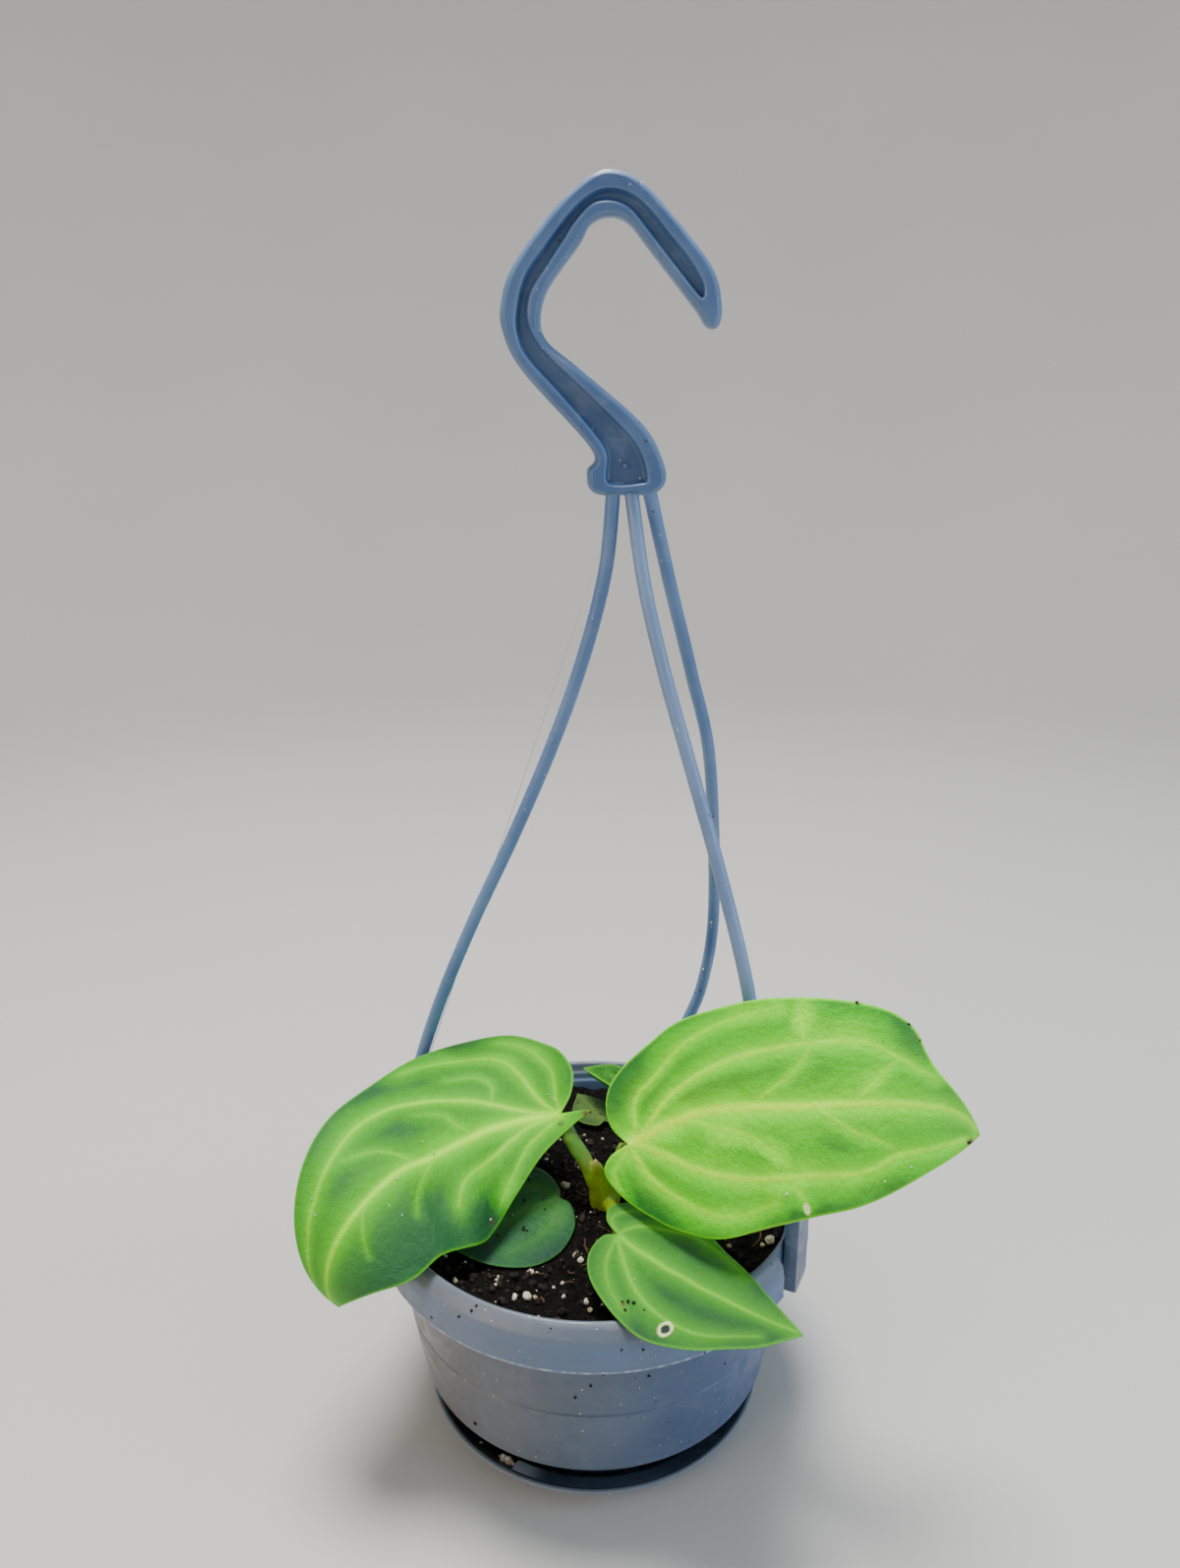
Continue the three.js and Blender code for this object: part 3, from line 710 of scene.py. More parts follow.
leaf_small = Leaf(
    base=(-9.5, -10, 70.2), length=36, heading=(200, 204, 208), rise=(4, -2, -6), roll=(-14, -10, -8),
    fold=(2, 0), cup=(-0.3, -0.3),
    left=[(-2.5, 3), (-1, 10.5), (6, 17), (16, 18.5), (27, 13)],
    right=[(-1, 3), (2, 10.5), (11, 15.5), (23, 13.5)],
)
veins_small = [
    (0.7, 0.3, 0, 0, 7, 0.7, 14.5, 2.4, 21, 3.5, 34, 2),
    (0.4, 0.2, 0, 0, 2, -3, 5, -5.3, 15, -9),
    (0.4, 0.2, 0, 0.5, 4, 6.8, 10.5, 11, 20, 13),
]

side_back = [(-2, 2.5), (1, 6), (7, 7.2), (13, 5.5)]
leaf_back = Leaf(
    base=(12, 35, 70.6), length=20, heading=(142, 140, 138), rise=(12, 14, 8), roll=(0, 0, 0),
    fold=(48, 40), cup=(0.5, 0.5), left=side_back, right=side_back,
)
veins_back = [(0.45, 0.25, 0, 0, 10, 0, 19, 0)]
veins_back += [(0.25, 0.15, 1, 0, 6, 3.5 * side, 13, 3 * side) for side in (1, -1)]

side_old = [(-1.5, 3), (3, 6.6), (10, 6.5)]
leaf_old = Leaf(
    base=(3.4, 31.5, 66.4), length=19, heading=(112, 116, 122), rise=(-4, -3, -8), roll=(4, 4, 4),
    fold=(-4, -4), cup=(-1, -1), left=side_old, right=side_old,
)
veins_old = [(0.4, 0.2, 0, 0, 9, 0.3, 18, 0), (0.25, 0.15, 1, 0.3, 6, 3, 12, 3)]


def waves_right(s, q):
    outer = ramp(np.abs(q) / 25) ** 2
    return outer * (0.7 * np.sin(s / 7.5) + 0.3 * np.sin(s / 3.4 + 1))


def waves_left(s, q):
    outer = ramp(np.abs(q) / 25) ** 2
    lump, dent = bell((s - 33) / 8, (q - 17) / 6), bell((s - 42) / 7, (q - 12) / 6)
    return outer * (0.5 * np.sin(s / 8 + 0.6) + 0.35 * np.sin(s / 3.1 - q / 6)) + 1.7 * lump - 1.5 * dent


def waves_front(s, q):
    outer = ramp(np.abs(q) / 14) ** 2
    return outer * (0.3 * np.sin(s / 4.5) + 0.3 * np.sin(s / 2.6 + q / 9))


turn = circle(28)
hole = np.column_stack([24.5 + 0.9 * np.cos(turn) + 0.2 * np.cos(3 * turn), -14.7 + 1.25 * np.sin(turn)])

# Tones are s, q, length, width and amount, where more is darker; stains and scars are s, q and radius
blade(
    "leaf_right", leaf_look("leaf_lime", GREENS["right"], 0.48), leaf_right, veins_right,
    waves=waves_right, scars=[(51, -24.5, 0.8)],
    stains=[(97, -3.5, 1.3), (66.5, 22, 0.5), (76.5, 18.3, 0.6), (78, 15.8, 0.5)],
    tones=[
        (27, 5.5, 13, 4, 0.9), (6, 12, 8, 7, 1.0), (4, -14, 7, 8, 0.7), (97, 1, 10, 9, 1.1),
        (79, 14, 7, 6, 0.9), (86, 4, 6, 7, 0.5), (56, -27, 20, 4, 0.8), (28, -7.5, 10, 4, -0.7),
        (46, -10, 12, 5, -0.6), (57, 18, 16, 4, -0.5), (68, 7, 6, 4, -0.5), (42, -21.5, 20, 4, -0.4),
        (10, 0, 9, 3, -0.8), (66, -9, 8, 4, 0.4), (52, 5, 7, 3, 0.5), (20, 14, 8, 3, 0.5),
        (70, -19, 10, 3, 0.4),
    ],
)
blade(
    "leaf_left", leaf_look("leaf_mid", GREENS["left"], 0.45), leaf_left, veins_left,
    waves=waves_left, stains=[(28.4, 22.8, 0.8), (-7.5, 2.2, 1.0)],
    tones=[
        # The dark patches from the middle to the tip of this blade are a painted bluish sheen.
        (58, 14, 10, 7, 0.9), (68, 11, 9, 6, 0.7), (48, 11, 6, 5, 0.6), (37, 20, 7, 5, 0.6),
        (78, 4, 8, 8, 0.5), (20, -3.5, 14, 2, -0.3), (12, -21, 9, 6, -0.3), (20, 14, 8, 5, -0.25),
        (36, -1, 20, 3, -0.3), (42, 15, 3, 3, 0.5), (66, -4, 16, 9, 0.3),
    ],
)
blade(
    "leaf_front", leaf_look("leaf_deep", GREENS["front"], 0.5), leaf_front, veins_front,
    waves=waves_front, step=0.42, hole=hole, stains=[(13.5, -14.6, 0.5)], scars=[(24.5, -14.7, 1.75)],
    tones=[
        # The dark tone on the left lobe by the base is a painted shadow of the right leaf.
        (-3, 8, 6, 6, 0.7), (10, 13, 12, 4, 0.4), (38, -7, 14, 6, 0.7), (44, 3, 10, 7, 0.5),
        (8, -3, 8, 4, -0.3),
    ],
)
blade(
    "leaf_small", leaf_look("leaf_shaded", GREENS["small"], 0.4, 0.5), leaf_small, veins_small,
    tones=[(28, 4, 8, 12, 0.8), (4, 2, 6, 10, -0.6), (0, 8, 5, 5, -0.4)],
)
folded = leaf_look("leaf_folded", GREENS["front"], 0.5)
blade("leaf_back", folded, leaf_back, veins_back, step=0.4, thick=0.4)
withered = leaf_look("leaf_withered", GREENS["old"], 0.6, 0.9)
blade("leaf_old", withered, leaf_old, veins_old, step=0.4, thick=0.4)

# Pot: the solid's profile with rounded edges; the collar stops at each clip

CLIPS = {"left": 154, "front": -25.5, "back": 60}
COLLAR_EDGE = 59.9
POT_OUTSIDE = [
    (49.7, 18.6), (51.3, 28.5), (52.95, 39.1), (52.55, 39.5), (53.1, 39.9), (55.4, 59), (59.7, 59.2),
    (60.2, 59.7), (60, 61), (60, 65.6), (59.5, 68.4), (58.2, 70.8), (56.8, 71.8),
]
POT = [
    (0.01, 6.2), (33.2, 6.2), (34.2, 2.7), (37.2, 2.7), (38.2, 6.5), (45, 18), (49.2, 18), *POT_OUTSIDE,
    (55.9, 71.3), (55.6, 69), (54.9, 68.4), (54.8, 66.6), (54.1, 66), (53.9, 61.5), (50.8, 40), (47.6, 20.5),
    (43.6, 19), (36.8, 8.2), (0.01, 8.2),
]


def collar(angle, r, z):
    """Pulls the collar in to the wall behind each clip, with a rounded end on both sides."""
    inner = 56.6
    keep = np.ones_like(r)
    corner = ramp((z - 68.5) / 3.5)
    for centre in CLIPS.values():
        away = np.abs((np.degrees(angle) - centre + 180) % 360 - 180)
        start = 9.6 + 2.6 * (1 - np.sqrt(1 - 0.999 * corner**2))
        keep = np.minimum(keep, np.sqrt(1 - (1 - ramp((away - start) / 1.7)) ** 2))
    bulge = (r > inner) & (z > 58.9)
    return np.where(bulge, inner + (r - inner) * keep, r), z


pot_skin = plastic_look("pot_plastic", (61, 75, 92), (72, 86, 104), (106, 110, 112), 0.26, pot_tones)
piece("pot_shell", lathe(rounded(POT, 0.5), 600, collar), pot_skin, ("pot",), sharp=50)

# Saucer: dish with the sloping apron inside the front of its rim

RIM = [(0.01, 0), (38.2, 0), (39.4, 0.8), (46.7, 7.2), (47.8, 7.9), (47.8, 8.9), (47.5, 9), (46.9, 9)]
DISH = [(46.5, 8.8), (45.6, 8), (42.2, 5.2), (41.4, 4.6), (38.6, 2.4), (0.01, 2.4)]
APRON = [(46.3, 8.6), (45.6, 8.5), (42.2, 7.6), (41.4, 6.9), (40.4, 4), (0.01, 2.4)]
dish, apron = rounded(RIM + DISH, 0.4), rounded(RIM + APRON, 0.4)


def saucer_shape(angle, r, z):
    """Blends from the open dish to the apron between -120 and -26 degrees."""
    a = (np.degrees(angle) + 180) % 360 - 180
    height = ramp((z - 4) / 5)
    left = ramp((a + 120 - 2.2 * height**2) / 1.2)
    right = ramp((-26 - a) / 1.5)
    share = np.sqrt(1 - (1 - np.minimum(left, right)) ** 2)
    return r + (apron[:, 0] - r) * share, z + (apron[:, 1] - z) * share


saucer_skin = plastic_look("saucer_plastic", (42, 55, 72), (54, 68, 86), (92, 98, 98), 0.25)
saucer = lathe(dish, 720, saucer_shape)
x, y, z = saucer[0].T
r, heading = np.hypot(x, y), np.degrees(np.arctan2(y, x))
# Painted shade inside the dish under the pot, a painted highlight at the apron's left end, painted shade
# growing towards its right end, and a painted highlight along the top of the rim.
bowl = ramp((46.3 - r) / 0.4) * (z > 0.84 * (r - 39.4) + 1.6) * (z > 2)
on_apron = (heading > -119) & (heading < -27) & (r > 41.2)
dust_and_shading = np.interp(heading, [-119, -113, -106, -70, -45], [-0.6, -0.5, 0.0, 0.12, 0.85])
painted_shading = bowl * np.where(on_apron, dust_and_shading, 1.0) - 0.35 * ramp((r - 46.8) / 0.3) * (z > 7.7)
piece("saucer_dish", saucer, saucer_skin, ("saucer",), {"painted_shading": painted_shading}, 50)

# Hook: a bar that is widest at its middle, with a rounded flange round a recessed channel on both faces

HOOK_Y = 12
HOOK = [
    (0, 324.5), (-8, 318), (-17.5, 306.5), (-20.5, 299), (-20.5, 292.5), (-16, 283.5), (0, 266), (-1, 261),
    (-0.5, 257), (2.5, 255.3), (9, 255.3), (15, 255.5), (18, 258.5), (17, 264), (12, 272), (-2.5, 284),
    (-10, 290), (-11.5, 295), (-9.5, 301.5), (-2.5, 310.5), (0, 314.5), (4, 316.2), (8.5, 315), (13, 310),
    (24, 297), (27, 293), (29.7, 293.2), (30.3, 298), (28, 305.5), (20.5, 314.5), (12, 323), (5.5, 325.7),
]
CHANNEL = [
    (4, 258), (3.6, 264.5), (1, 269), (-7.5, 278.5), (-15, 286.5), (-17.2, 292), (-17, 297.5), (-15, 304),
    (-10.5, 310), (-5.5, 316), (-2, 319.3), (1.5, 321.3), (5, 321.8), (9, 320.8), (13, 318), (18, 312.5),
    (22.5, 307.5), (25.5, 303), (26.2, 300), (25.2, 299), (21, 303.5), (16, 309.3), (12, 314), (9.3, 317),
    (7, 318.4), (4, 319), (0.5, 318.3), (-3, 315), (-5.5, 311.5), (-9.5, 306), (-13, 301), (-14.2, 297),
    (-13.8, 293), (-11.5, 289), (-8, 285.5), (-2, 280), (5, 273.5), (10, 268.5), (12.6, 264), (13.6, 259.5),
    (12.5, 258),
]
# How far each ring is moved in from the outline, and its distance from the hook's middle plane
FLANGE = [
    (0, 0), (0, 1.1), (0.12, 1.4), (0.55, 1.6), (0.65, 1.85), (0.75, 2.7), (0.85, 3.1), (1.1, 3.4),
    (1.45, 3.5),
]
WALL = [(-0.35, 3.5), (0, 3.35), (0.25, 2.9), (0.45, 1.9), (0.75, 1.45), (1.1, 1.3)]


def inset(ring, by):
    """A closed outline moved inwards by a small distance."""
    along = unit(np.roll(ring, -2, 0) - np.roll(ring, 2, 0))
    side = np.column_stack([along[:, 1], -along[:, 0]])
    area = np.sum(ring[:, 0] * np.roll(ring[:, 1], -1) - ring[:, 1] * np.roll(ring[:, 0], -1))
    return ring + side * (by if area < 0 else -by)


def upright(flat, y):
    return np.column_stack([flat[:, 0], np.full(len(flat), y), flat[:, 1]])


def hook_mesh():
    """Both faces of the hook: rounded flange, flat lip, the channel's wall and its floor."""
    count, parts = 420, []
    outer, groove = spline(HOOK, count, True), spline(CHANNEL, count, True)
    for side in (-1, 1):
        for ring, rows, holes in ((outer, FLANGE, [inset(groove, WALL[0][0])]), (groove, WALL, [])):
            verts = np.vstack([upright(inset(ring, cut), HOOK_Y + side * depth) for cut, depth in rows])
            flat, top = flat_mesh([inset(ring, rows[-1][0]), *holes], 1.4)
            parts.append((verts, np.array(bands(len(rows), count))[:, ::-side]))
            parts.append((upright(flat, HOOK_Y + side * rows[-1][1]), top[:, ::-side]))
    return joined(parts)


# The strands' plastic is a paler copy of the hanger's: painted light on the cords.
lit_strand_skin = plastic_look("strand_plastic_lit", (74, 104, 150), (90, 120, 162), (136, 146, 158), 0.22)
hanger_skin = plastic_look("hanger_plastic", (58, 86, 130), (74, 104, 144), (122, 132, 146), 0.22)
hook = joined([hook_mesh(), tube([(8.2, 9.3, 262.2), (8.2, 10.9, 262.2)], [0.55, 0.75], 14)])
face_on, depth = hook[0][:, [0, 2]], np.abs(hook[0][:, 1] - HOOK_Y)
from_rim, from_lip = (distance(face_on, spline(ring + ring[:1], 420))[0] for ring in (HOOK, CHANNEL))
# Painted highlights along the flange's outer edges and the channel's lip, and painted shade on the channel's
# floor.
lit = np.maximum(bell(from_rim / 0.8), 0.6 * bell(from_lip / 0.5) * (depth > 3))
painted_shading = np.where(depth < 1.6, 0.2 * ramp(from_rim - 2), 0) - 0.3 * lit
piece("hook", hook, hanger_skin, ("hanger_hook",), {"painted_shading": painted_shading}, 55)

# Strands, each running into its clip on the collar

STRAND_R = 1.8
STRANDS = {
    "left": [
        (5.4, 12, 256.5), (3.5, 12.8, 237), (-2.2, 14.2, 214.6), (-10.6, 16, 190.8), (-21.3, 18, 165.4),
        (-33.8, 20.4, 138), (-44.4, 22.6, 112),
    ],
    "front": [
        (9.7, 12, 256.5), (13, 7.3, 234), (18, 2.6, 213), (24.1, -2.2, 191.8), (31.4, -7.4, 166.4),
        (38, -12.6, 141), (44, -18, 112),
    ],
    "back": [
        (14.1, 12, 256.5), (20.2, 20.4, 232.4), (27, 28.8, 207.4), (33.5, 36.4, 180), (37, 46, 130.6),
        (34.6, 50, 103.4),
    ],
}


def around(angle, r, z, across=0.0):
    """The point at an angle and radius, moved across the radius."""
    a = math.radians(angle)
    return [r * math.cos(a) - across * math.sin(a), r * math.sin(a) + across * math.cos(a), z]


def clip_mesh(angle):
    """An open channel that hangs over the wall: outer plate, two side flanges and an arched top."""
    half, low, high = 5.6, 55.6, 83
    outer, plate, inner = 60.35, 58.9, 56.95
    steps = np.linspace(0, 1.57, 6)
    arch = [(high - 3 - 4 * (1 - math.cos(t)), half - 1.4 - 4 * (1 - math.sin(t))) for t in steps]
    mouth = [(low, 1.3 - half), *[(z, -w) for z, w in reversed(arch)], *arch, (low, half - 1.3)]
    rim = [(low, 1.2 - half), (low + 1.2, -half), (high - 2, -half), (high - 0.6, 0.6 - half)]
    rim.append((high, 2 - half))
    rim += [(z, -w) for z, w in reversed(rim)]
    n = 81
    rim, mouth = even(rim, n), even(mouth, n)
    rows = ((inner, rim, 1), (outer - 0.5, rim, 1), (outer, rim, 0.93), (inner, mouth, 1), (plate, mouth, 1))
    verts = [around(angle, r, z, w * narrow) for r, line, narrow in rows for z, w in line]
    faces = []
    for a, b in ((0, n), (n, 2 * n), (3 * n, 0), (4 * n, 3 * n)):
        faces += [[a + i, b + i, b + i + 1, a + i + 1] for i in range(n - 1)]
    for i in range(n // 2):
        faces.append([2 * n + i, 3 * n - 1 - i, 3 * n - 2 - i, 2 * n + i + 1])
        faces.append([4 * n + i, 4 * n + i + 1, 5 * n - 2 - i, 5 * n - 1 - i])
    faces.append([0, 3 * n, 4 * n, 5 * n - 1, 4 * n - 1, n - 1, 2 * n - 1, 3 * n - 1, 2 * n, n])
    return verts, faces


for name, route in STRANDS.items():
    angle = CLIPS[name]
    route = route + [around(angle, 58.5, 87), around(angle, 58.5, 79)]
    cord, clip = tube(spline(route, 150), STRAND_R, 20, 0.92), clip_mesh(angle)
    # The front cord is painted paler, painted light; the clips are painted darker, painted shade.
    painted_shading = np.repeat([-0.22 if name == "front" else 0.0, 0.55], [len(cord[0]), len(clip[0])])
    node = f"hanger_strand_{name}"
    piece(f"strand_{name}", joined([cord, clip]), lit_strand_skin, (node,), {"painted_shading": painted_shading}, 40)

# Crown and petioles: the sides, radii and route of each tube, fused into one skin

CROWN = [
    (14, [3.0, 3.3, 3.5, 3.2, 2.6, 1.7], [
        (3.6, -7.4, 56), (3, -7.9, 62), (2.4, -8.5, 67), (1.7, -9.3, 72), (1, -10, 76.5), (0.4, -10.6, 80.5),
    ]),
    (14, [2.2, 2.4, 2.2, 2.1, 2.2, 1.9], [
        (2.2, -8.6, 70), (0.2, -10, 76), (-2, -9.4, 81), (-5.2, -8, 86), (-7.4, -6.3, 89.4),
        (-8.4, -5.2, 90.9),
    ]),
    (14, [2.3, 2, 1.9, 1.9, 1.7], [
        (2, -8.8, 70), (5, -8.6, 78), (8.6, -11, 85.5), (9.5, -16, 90.4), (9.3, -19.4, 93),
    ]),
    (12, [2.2, 1.9, 1.7, 1.6, 1.5], [
        (3, -8.5, 67), (5, -14, 69.4), (6.2, -23, 70.6), (6.4, -29, 73), (6.3, -32.6, 76.2),
    ]),
    (12, [1.9, 1.5, 0.5], [(1.8, -10, 77), (0.8, -11.4, 81.5), (0.5, -11.8, 83.6)]),
    (12, [3.0, 2.8, 2.4, 1.4], [(4.2, -7.6, 66), (5.6, -5.4, 72), (7.4, -2.2, 77), (8.4, 0.6, 79.5)]),
]
BACK_SHOOT = [(10, [1.3, 1.2, 1.0], [(13.4, 32.6, 60), (13.4, 32.6, 66), (12.4, 34.6, 69.9)])]
SMALL_SHOOT = [(10, [1.2, 1.2, 1.0], [(-9.6, -9.4, 60), (-9.6, -9.4, 65), (-9.5, -9.9, 69.4)])]
stem_skin = stem_look()


def fused(name, node, tubes, voxel, smoothing):
    """Joins overlapping tubes into one smooth skin, greener up the petioles and dirty at the stub."""
    parts = []
    for sides, radii, route in tubes:
        radii = np.interp(np.linspace(0, 1, 31), np.linspace(0, 1, len(radii)), radii)
        parts.append(tube(spline(route, 30), radii, sides))
    source = solid(name + "_rough", joined(parts), stem_skin)
    remesh = source.modifiers.new("fuse", "REMESH")
    remesh.mode = "VOXEL"
    remesh.voxel_size = voxel * MM
    smooth = source.modifiers.new("smooth", "SMOOTH")
    smooth.factor = 0.5
    smooth.iterations = smoothing
    result = source.evaluated_get(bpy.context.evaluated_depsgraph_get()).to_mesh()
    verts = np.zeros(len(result.vertices) * 3)
    result.vertices.foreach_get("co", verts)
    verts = verts.reshape(-1, 3) / MM
    faces = [list(p.vertices) for p in result.polygons]
    bpy.data.meshes.remove(source.data)
    verts = verts + 0.12 * noise(verts, 2.2, 4)[:, None]
    x, y, z = verts.T
    left = ramp((z - 77) / 6) * ramp((1 - x) / 2)
    right = ramp((z - 80) / 8) * ramp(x / 3)
    front = ramp((-y - 18) / 8)
    stub = ramp((x - 3.6) / 2) * ramp((y + 9) / 3)
    tip = bell((x - 0.6) / 1.8, (y + 11.8) / 1.5, (z - 83) / 1.6)
    values = {"green": ramp(left + right + front), "dirt": ramp(0.25 + stub), "pink": 0.7 * tip}
    piece(name, (verts, faces), stem_skin, (node,), values)


fused("crown", "stem_crown", CROWN, 0.45, 4)
fused("back_shoot", "shoot_back", BACK_SHOOT, 0.3, 2)
fused("small_shoot", "shoot_small", SMALL_SHOOT, 0.3, 2)

# Soil: crumbly top, grains, perlite and fibres

LYING = (leaf_small, leaf_old)


def under(leaf, xy):
    """Which flat points are under a leaf, and how far each is from the leaf's outline."""
    outline = leaf.point(*leaf.ring(1.0).T)[:, :2]
    return inside(xy, outline), distance(xy, closed(outline))[0]


def leaf_height(leaf, xy):
    """Height of a leaf's blade over flat points, taken at its nearest sample."""
    s, q = np.meshgrid(np.linspace(-3, leaf.length, 22), np.linspace(-18, 18, 22))
    sample = leaf.point(s.ravel(), q.ravel())
    away = np.linalg.norm(xy[:, None] - sample[:, :2], axis=2)
    return sample[np.argmin(away, axis=1), 2]


def soil_height(xy):
    """Height of the potting mix at flat points."""
    x, y = xy.T
    r = np.hypot(x, y)
    z = 64.7 - 0.03 * y + 0.9 * noise(xy, 9, 1) + 0.8 * noise(xy, 3.6, 2) + 0.9 * np.abs(noise(xy, 1.7, 3))
    z += 0.45 * noise(xy, 0.95, 6)
    z += 0.8 * ramp((r - 46) / 7) * noise(xy, 6, 9)
    z += 1.2 * np.exp(-((x - 3) ** 2 + (y + 7) ** 2) / 90)
    for leaf in LYING:
        below, away = under(leaf, xy)
        cover = np.where(below, 1.0, ramp(1 - away / 2))
        cap = leaf_height(leaf, xy) - 1.1
        z = np.where(cover > 0, np.minimum(z, z + (cap - z) * cover), z)
    return z


def soil_mesh():
    """The crumbly top and a plain body that narrows to the pot's floor."""
    reach = 53.6
    ring = polar(reach, circle(300))
    flat, top = flat_mesh([ring], 0.62)
    verts, faces = [np.column_stack([flat, soil_height(flat)])], top.tolist()
    last, count = [int(np.argmin(np.hypot(*(flat - p).T))) for p in ring], len(flat)
    for r, z in ((53, 55), (50.4, 40), (47.2, 20.9), (43.2, 19.4), (36.4, 8.5)):
        verts.append(np.column_stack([ring * r / reach, np.full(len(ring), z)]))
        here = list(range(count, count + len(ring)))
        faces += [[last[i], last[i - 1], here[i - 1], here[i]] for i in range(len(ring))]
        last, count = here, count + len(ring)
    return np.vstack(verts), [*faces, last[::-1]]


piece("soil_bed", soil_mesh(), soil_look(), ("soil",))


def scattered(count, reach, gap=0.5):
    """Random flat places on the soil, none of them under the leaves that lie on it."""
    r = reach * np.sqrt(rng.random(count))
    xy = polar(r, 2 * math.pi * rng.random(count))
    for leaf in LYING:
        below, away = under(leaf, xy)
        xy = xy[~below & (away > gap)]
    return xy


def on_soil(xy, lift):
    return np.column_stack([xy, soil_height(xy) + lift])


crumb_skin = grain_look("soil_crumb", (6, 5, 4), (40, 30, 23), 0.8, 0.2)
perlite_skin = grain_look("perlite", (150, 132, 100), (206, 202, 190), 0.8, 0.12)
fibre_skin = grain_look("fibre", (40, 28, 20), (112, 84, 54), 0.85, 0.1, own_tone=False)
dust_skin = grain_look("dust", (120, 116, 104), (206, 206, 198), 0.85, 0.05)

crumbs = scattered(2000, 52.6)
size = 0.3 + 1.1 * rng.random(len(crumbs)) ** 3
grains("soil_crumbs", on_soil(crumbs, 0.25 * size), size, crumb_skin, 1, 0.45, 0.45, np.square)

# The perlite that the photograph shows: x, y and size
PERLITE = np.array([
    (-16, -34.5, 1.1), (-24.5, -36.5, 0.7), (-8, -38.5, 0.8), (-4.5, -28.5, 1.4), (-3.5, -30, 1.1),
    (-2, -44, 1.2), (-19.5, -43.5, 1.1), (-16.5, -43.5, 1.5), (-14.5, -44, 1.0), (-7.5, -43.5, 0.9),
    (-10, -40.5, 0.6), (-13.5, -50, 0.7), (-38.5, -28.5, 0.9), (-35, -37.5, 1.0), (46.5, -22, 1.7),
    (44.5, -23, 0.9), (-1.8, 22.8, 0.8), (-8, -0.5, 1.5), (-7.4, 1.2, 1.0), (-0.7, -12.5, 0.8),
    (2.9, 24.7, 0.7), (-13.5, 16.5, 0.6),
])
loose = scattered(190, 51.5)
size = np.concatenate([0.8 * PERLITE[:, 2], 0.18 + 0.6 * rng.random(len(loose)) ** 2.5])
place = on_soil(np.vstack([PERLITE[:, :2], loose]), 0.45 * size)
grains("perlite", place, size, perlite_skin, 2, 0.35, 0.35)


def fibres(count, reach, longest):
    """Thin bent fibres on the soil."""
    parts, steps = [], np.linspace(-0.5, 0.5, 7)
    for middle in scattered(count, reach, 1.5):
        length = 2 + longest * rng.random() ** 2
        way = 2 * math.pi * rng.random()
        turn = way + rng.normal(0, 0.5) * steps
        flat = middle + polar(length * steps, turn)
        flat *= np.minimum(1, 52.5 / np.hypot(*flat.T))[:, None]
        lift = 0.25 + rng.random() * 0.5 + 0.5 * steps * rng.normal(0, 1)
        r = 0.12 + 0.22 * rng.random() ** 2
        parts.append(tube(on_soil(flat, lift), r * (1 - 0.5 * np.abs(steps)), 5))
    return joined(parts)


piece("fibres", fibres(150, 51, 8), fibre_skin)

# Small dirt: soil bits on the pot, crumbs in the saucer, dust on the strands and blades

# Angle, height and size of each bit
POT_BITS = [
    (-120, 69.8, 0.7), (-119, 71, 0.5), (-84, 66.2, 0.6), (-79, 65.7, 0.7), (-88, 59.4, 0.6),
    (-91, 50.4, 0.7), (-95, 46.3, 0.6), (-128, 23.2, 0.9), (-116, 53.6, 0.5), (-132, 62, 0.6),
    (-123, 67.3, 0.5), (-76, 52, 0.5), (-81, 38.7, 0.4), (-83, 71.8, 0.6), (-64, 60, 0.4), (-140, 68, 0.5),
    (-100, 70.6, 0.4), (-52, 45, 0.4),
]


def on_pot(angles, heights):
    """Places on the outside of the pot from angles in degrees and heights."""
    radius, level = np.transpose(POT_OUTSIDE)
    return np.column_stack([polar(np.interp(heights, level, radius), np.radians(angles)), heights])


angles, heights, size = np.transpose(POT_BITS)
place = on_pot(angles, heights)
grains("pot_dirt", place, 0.8 * size, crumb_skin, 2, 0.6, 0.6, lambda tone: 0.4 + 0.6 * tone)
angles = np.concatenate([rng.uniform(-145, -35, 90), rng.uniform(-180, 180, 60)])
place = on_pot(angles, rng.uniform(19, 71, 150))
grains("pot_dust", place, 0.1 + 0.16 * rng.random(150) ** 2, dust_skin, 1, 0.5, 0.5)

# Place, size and tone of each crumb in the saucer
CRUMBS = [
    (-24.2, -36, 1.1, 0.9), (-23.2, -36.8, 1.3, 0.8), (-22.2, -37.6, 0.9, 0.1), (-21.4, -38, 0.8, 0.7),
    (-20.6, -38.6, 0.8, 0.2), (-25.2, -35, 0.7, 0.6), (-23, -35.8, 0.8, 0.0), (16.2, -40.4, 0.8, 0.8),
    (18.6, -38.4, 0.7, 0.7), (14.4, -41, 0.7, 0.1), (13.6, -40.6, 0.6, 0.0), (24, -35.6, 0.4, 0.5),
    (-31, -30.6, 0.4, 0.3), (5, -42.4, 0.35, 0.4),
]
x, y, size, tones = np.transpose(CRUMBS)
floor_height = np.interp(np.hypot(x, y), [38.6, 45.6], [2.4, 8])
place = np.column_stack([x, y, floor_height + 0.8 * size])
grains("saucer_crumbs", place, size, perlite_skin, 2, 0.5, 0.4, lambda _: tones)

places = []
for route in STRANDS.values():
    line = spline(route, 200)
    for at in 199 - (170 * rng.random(45) ** 2).astype(int):
        side, ahead = rng.normal(size=3), unit(line[min(at + 1, 199)] - line[at - 1])
        places.append(line[at] + unit(side - ahead * side.dot(ahead)) * STRAND_R * 0.96)
grains("strand_dust", places, 0.13 + 0.22 * rng.random(len(places)) ** 3, dust_skin, 1, 0.5, 0.4)

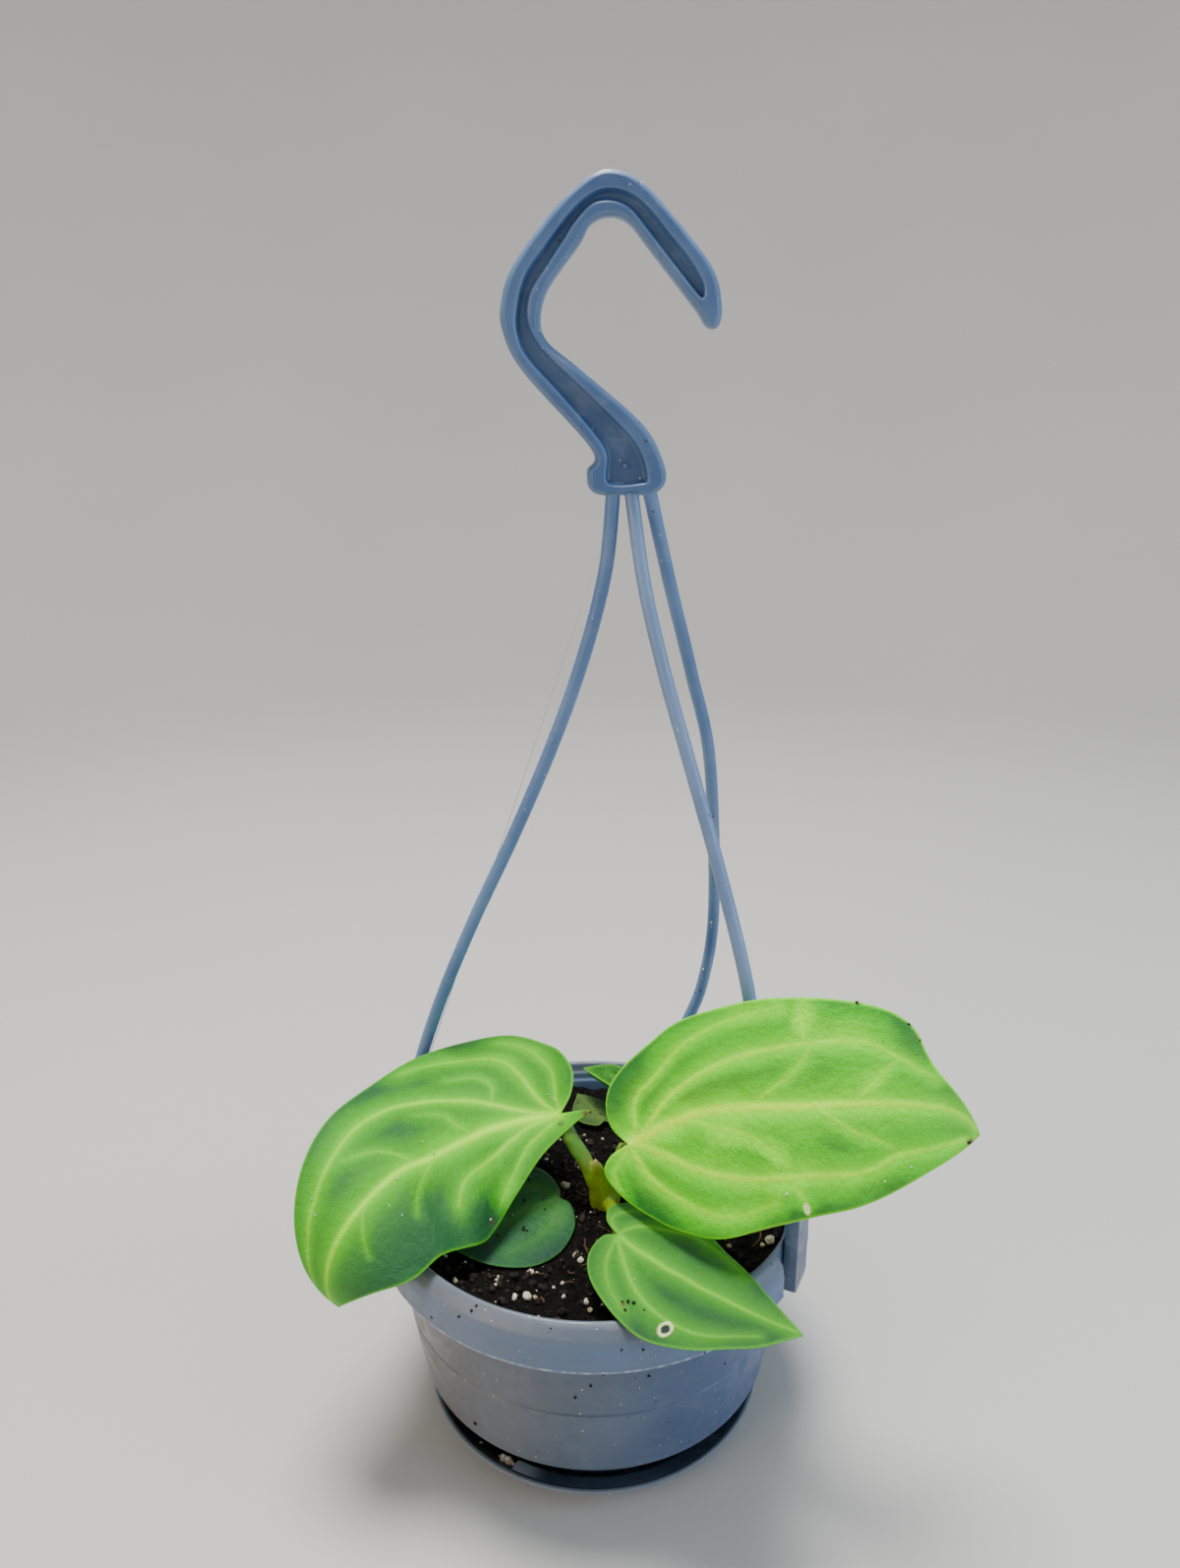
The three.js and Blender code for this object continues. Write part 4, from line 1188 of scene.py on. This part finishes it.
# For each leaf: s, q and size of the pale specks and of the dark clods
SPECKS = [
    (leaf_right, waves_right, [(45.8, -20.9, 0.5), (80.8, -13.1, 0.35), (74.2, -17.3, 0.35), (20, 10, 0.2)]),
    (leaf_left, waves_left, [
        (49.6, 1.8, 0.4), (37, 0.6, 0.35), (38, -3.4, 0.3), (55.3, 9.7, 0.3), (55.9, 5.6, 0.25),
        (2, -5.6, 0.3), (1.2, -4.4, 0.3), (2.8, -6.8, 0.25), (50.4, 22.6, 0.3), (65.8, -11.6, 0.3),
        (68.3, -8.5, 0.3), (28.4, 22, 0.4),
    ]),
    (leaf_front, waves_front, [(11.5, -7.7, 0.25), (28.9, -12.2, 0.2), (18.9, 0.1, 0.2), (33, -6, 0.15)]),
    (leaf_small, None, [(9.5, -1.5, 0.2), (18, -6, 0.25), (14, 2, 0.2)]),
]
CLODS = [
    (leaf_front, waves_front, [
        (14, -13.6, 0.7), (15.2, -13, 0.5), (17.9, -12.9, 0.35), (13, -14.4, 0.5), (14.6, -15.6, 0.5),
    ]),
    (leaf_small, None, [
        (9.5, -1.5, 0.6), (12.1, 8.3, 0.5), (12.8, 7.4, 0.6), (5, 3, 0.4), (20, 7, 0.4), (6, -8, 0.5),
    ]),
    (leaf_old, None, [(6, 2, 0.5), (10, -2, 0.5), (13, 3, 0.4), (4, -3, 0.5)]),
    (leaf_right, waves_right, [(66, 22, 0.4), (76.4, 18.4, 0.45), (79, 15.2, 0.4), (96, -3.9, 0.6)]),
]


def on_leaves(groups):
    """Places and sizes of grains on the upper sides of the blades."""
    places, sizes = [], []
    for leaf, waves, spots in groups:
        s, q, size = np.transpose(spots)
        lift = 0.6 * size + (waves(s, q) if waves else 0) - 0.3
        places.append(leaf.point(s, q) + leaf.normal(s, q) * lift[:, None])
        sizes.append(size)
    return np.vstack(places), np.concatenate(sizes)


grains("leaf_specks", *on_leaves(SPECKS), dust_skin, 2, 0.4, 0.4, lambda tone: 0.6 + 0.4 * tone)
grains("leaf_dirt", *on_leaves(CLODS), crumb_skin, 2, 0.6, 0.6)

# Light

world = bpy.data.worlds.new("studio")
world.use_nodes = True
world.node_tree.nodes["Background"].inputs["Color"].default_value = (0.88, 0.94, 1, 1)
world.node_tree.nodes["Background"].inputs["Strength"].default_value = 0.5
bpy.context.scene.world = world


def lamp(name, place, size, power, colour):
    """A round area light that points at the middle of the pot."""
    light = bpy.data.lights.new(name, "AREA")
    light.shape = "DISK"
    light.size = size
    light.energy = power
    light.color = colour
    obj = bpy.data.objects.new(name, light)
    obj.location = place
    obj.rotation_euler = (Vector((0, 0, 0.1)) - Vector(place)).to_track_quat("-Z", "Y").to_euler()
    bpy.context.scene.collection.objects.link(obj)


lamp("key", (-0.1, 0.05, 1.25), 0.45, 24, (1, 0.98, 0.94))
lamp("left", (-0.8, -0.75, 0.45), 0.8, 5.5, (1, 0.82, 0.62))
lamp("right", (0.95, -0.3, 0.4), 0.8, 6.5, (0.55, 0.77, 1))

floor_look = Look("floor", 0.8, 0.2)
floor_look.colour = floor_look.mix(floor_look.noise(0.004, 2.0), (0.5, 0.49, 0.48), (0.54, 0.53, 0.52))
bend = [(900 + 600 * math.sin(a), 600 - 600 * math.cos(a)) for a in np.linspace(0, math.pi / 2, 14)]
solid("floor", lathe([(0.001, 0), *bend, (1500, 1600)], 96), floor_look.finish())
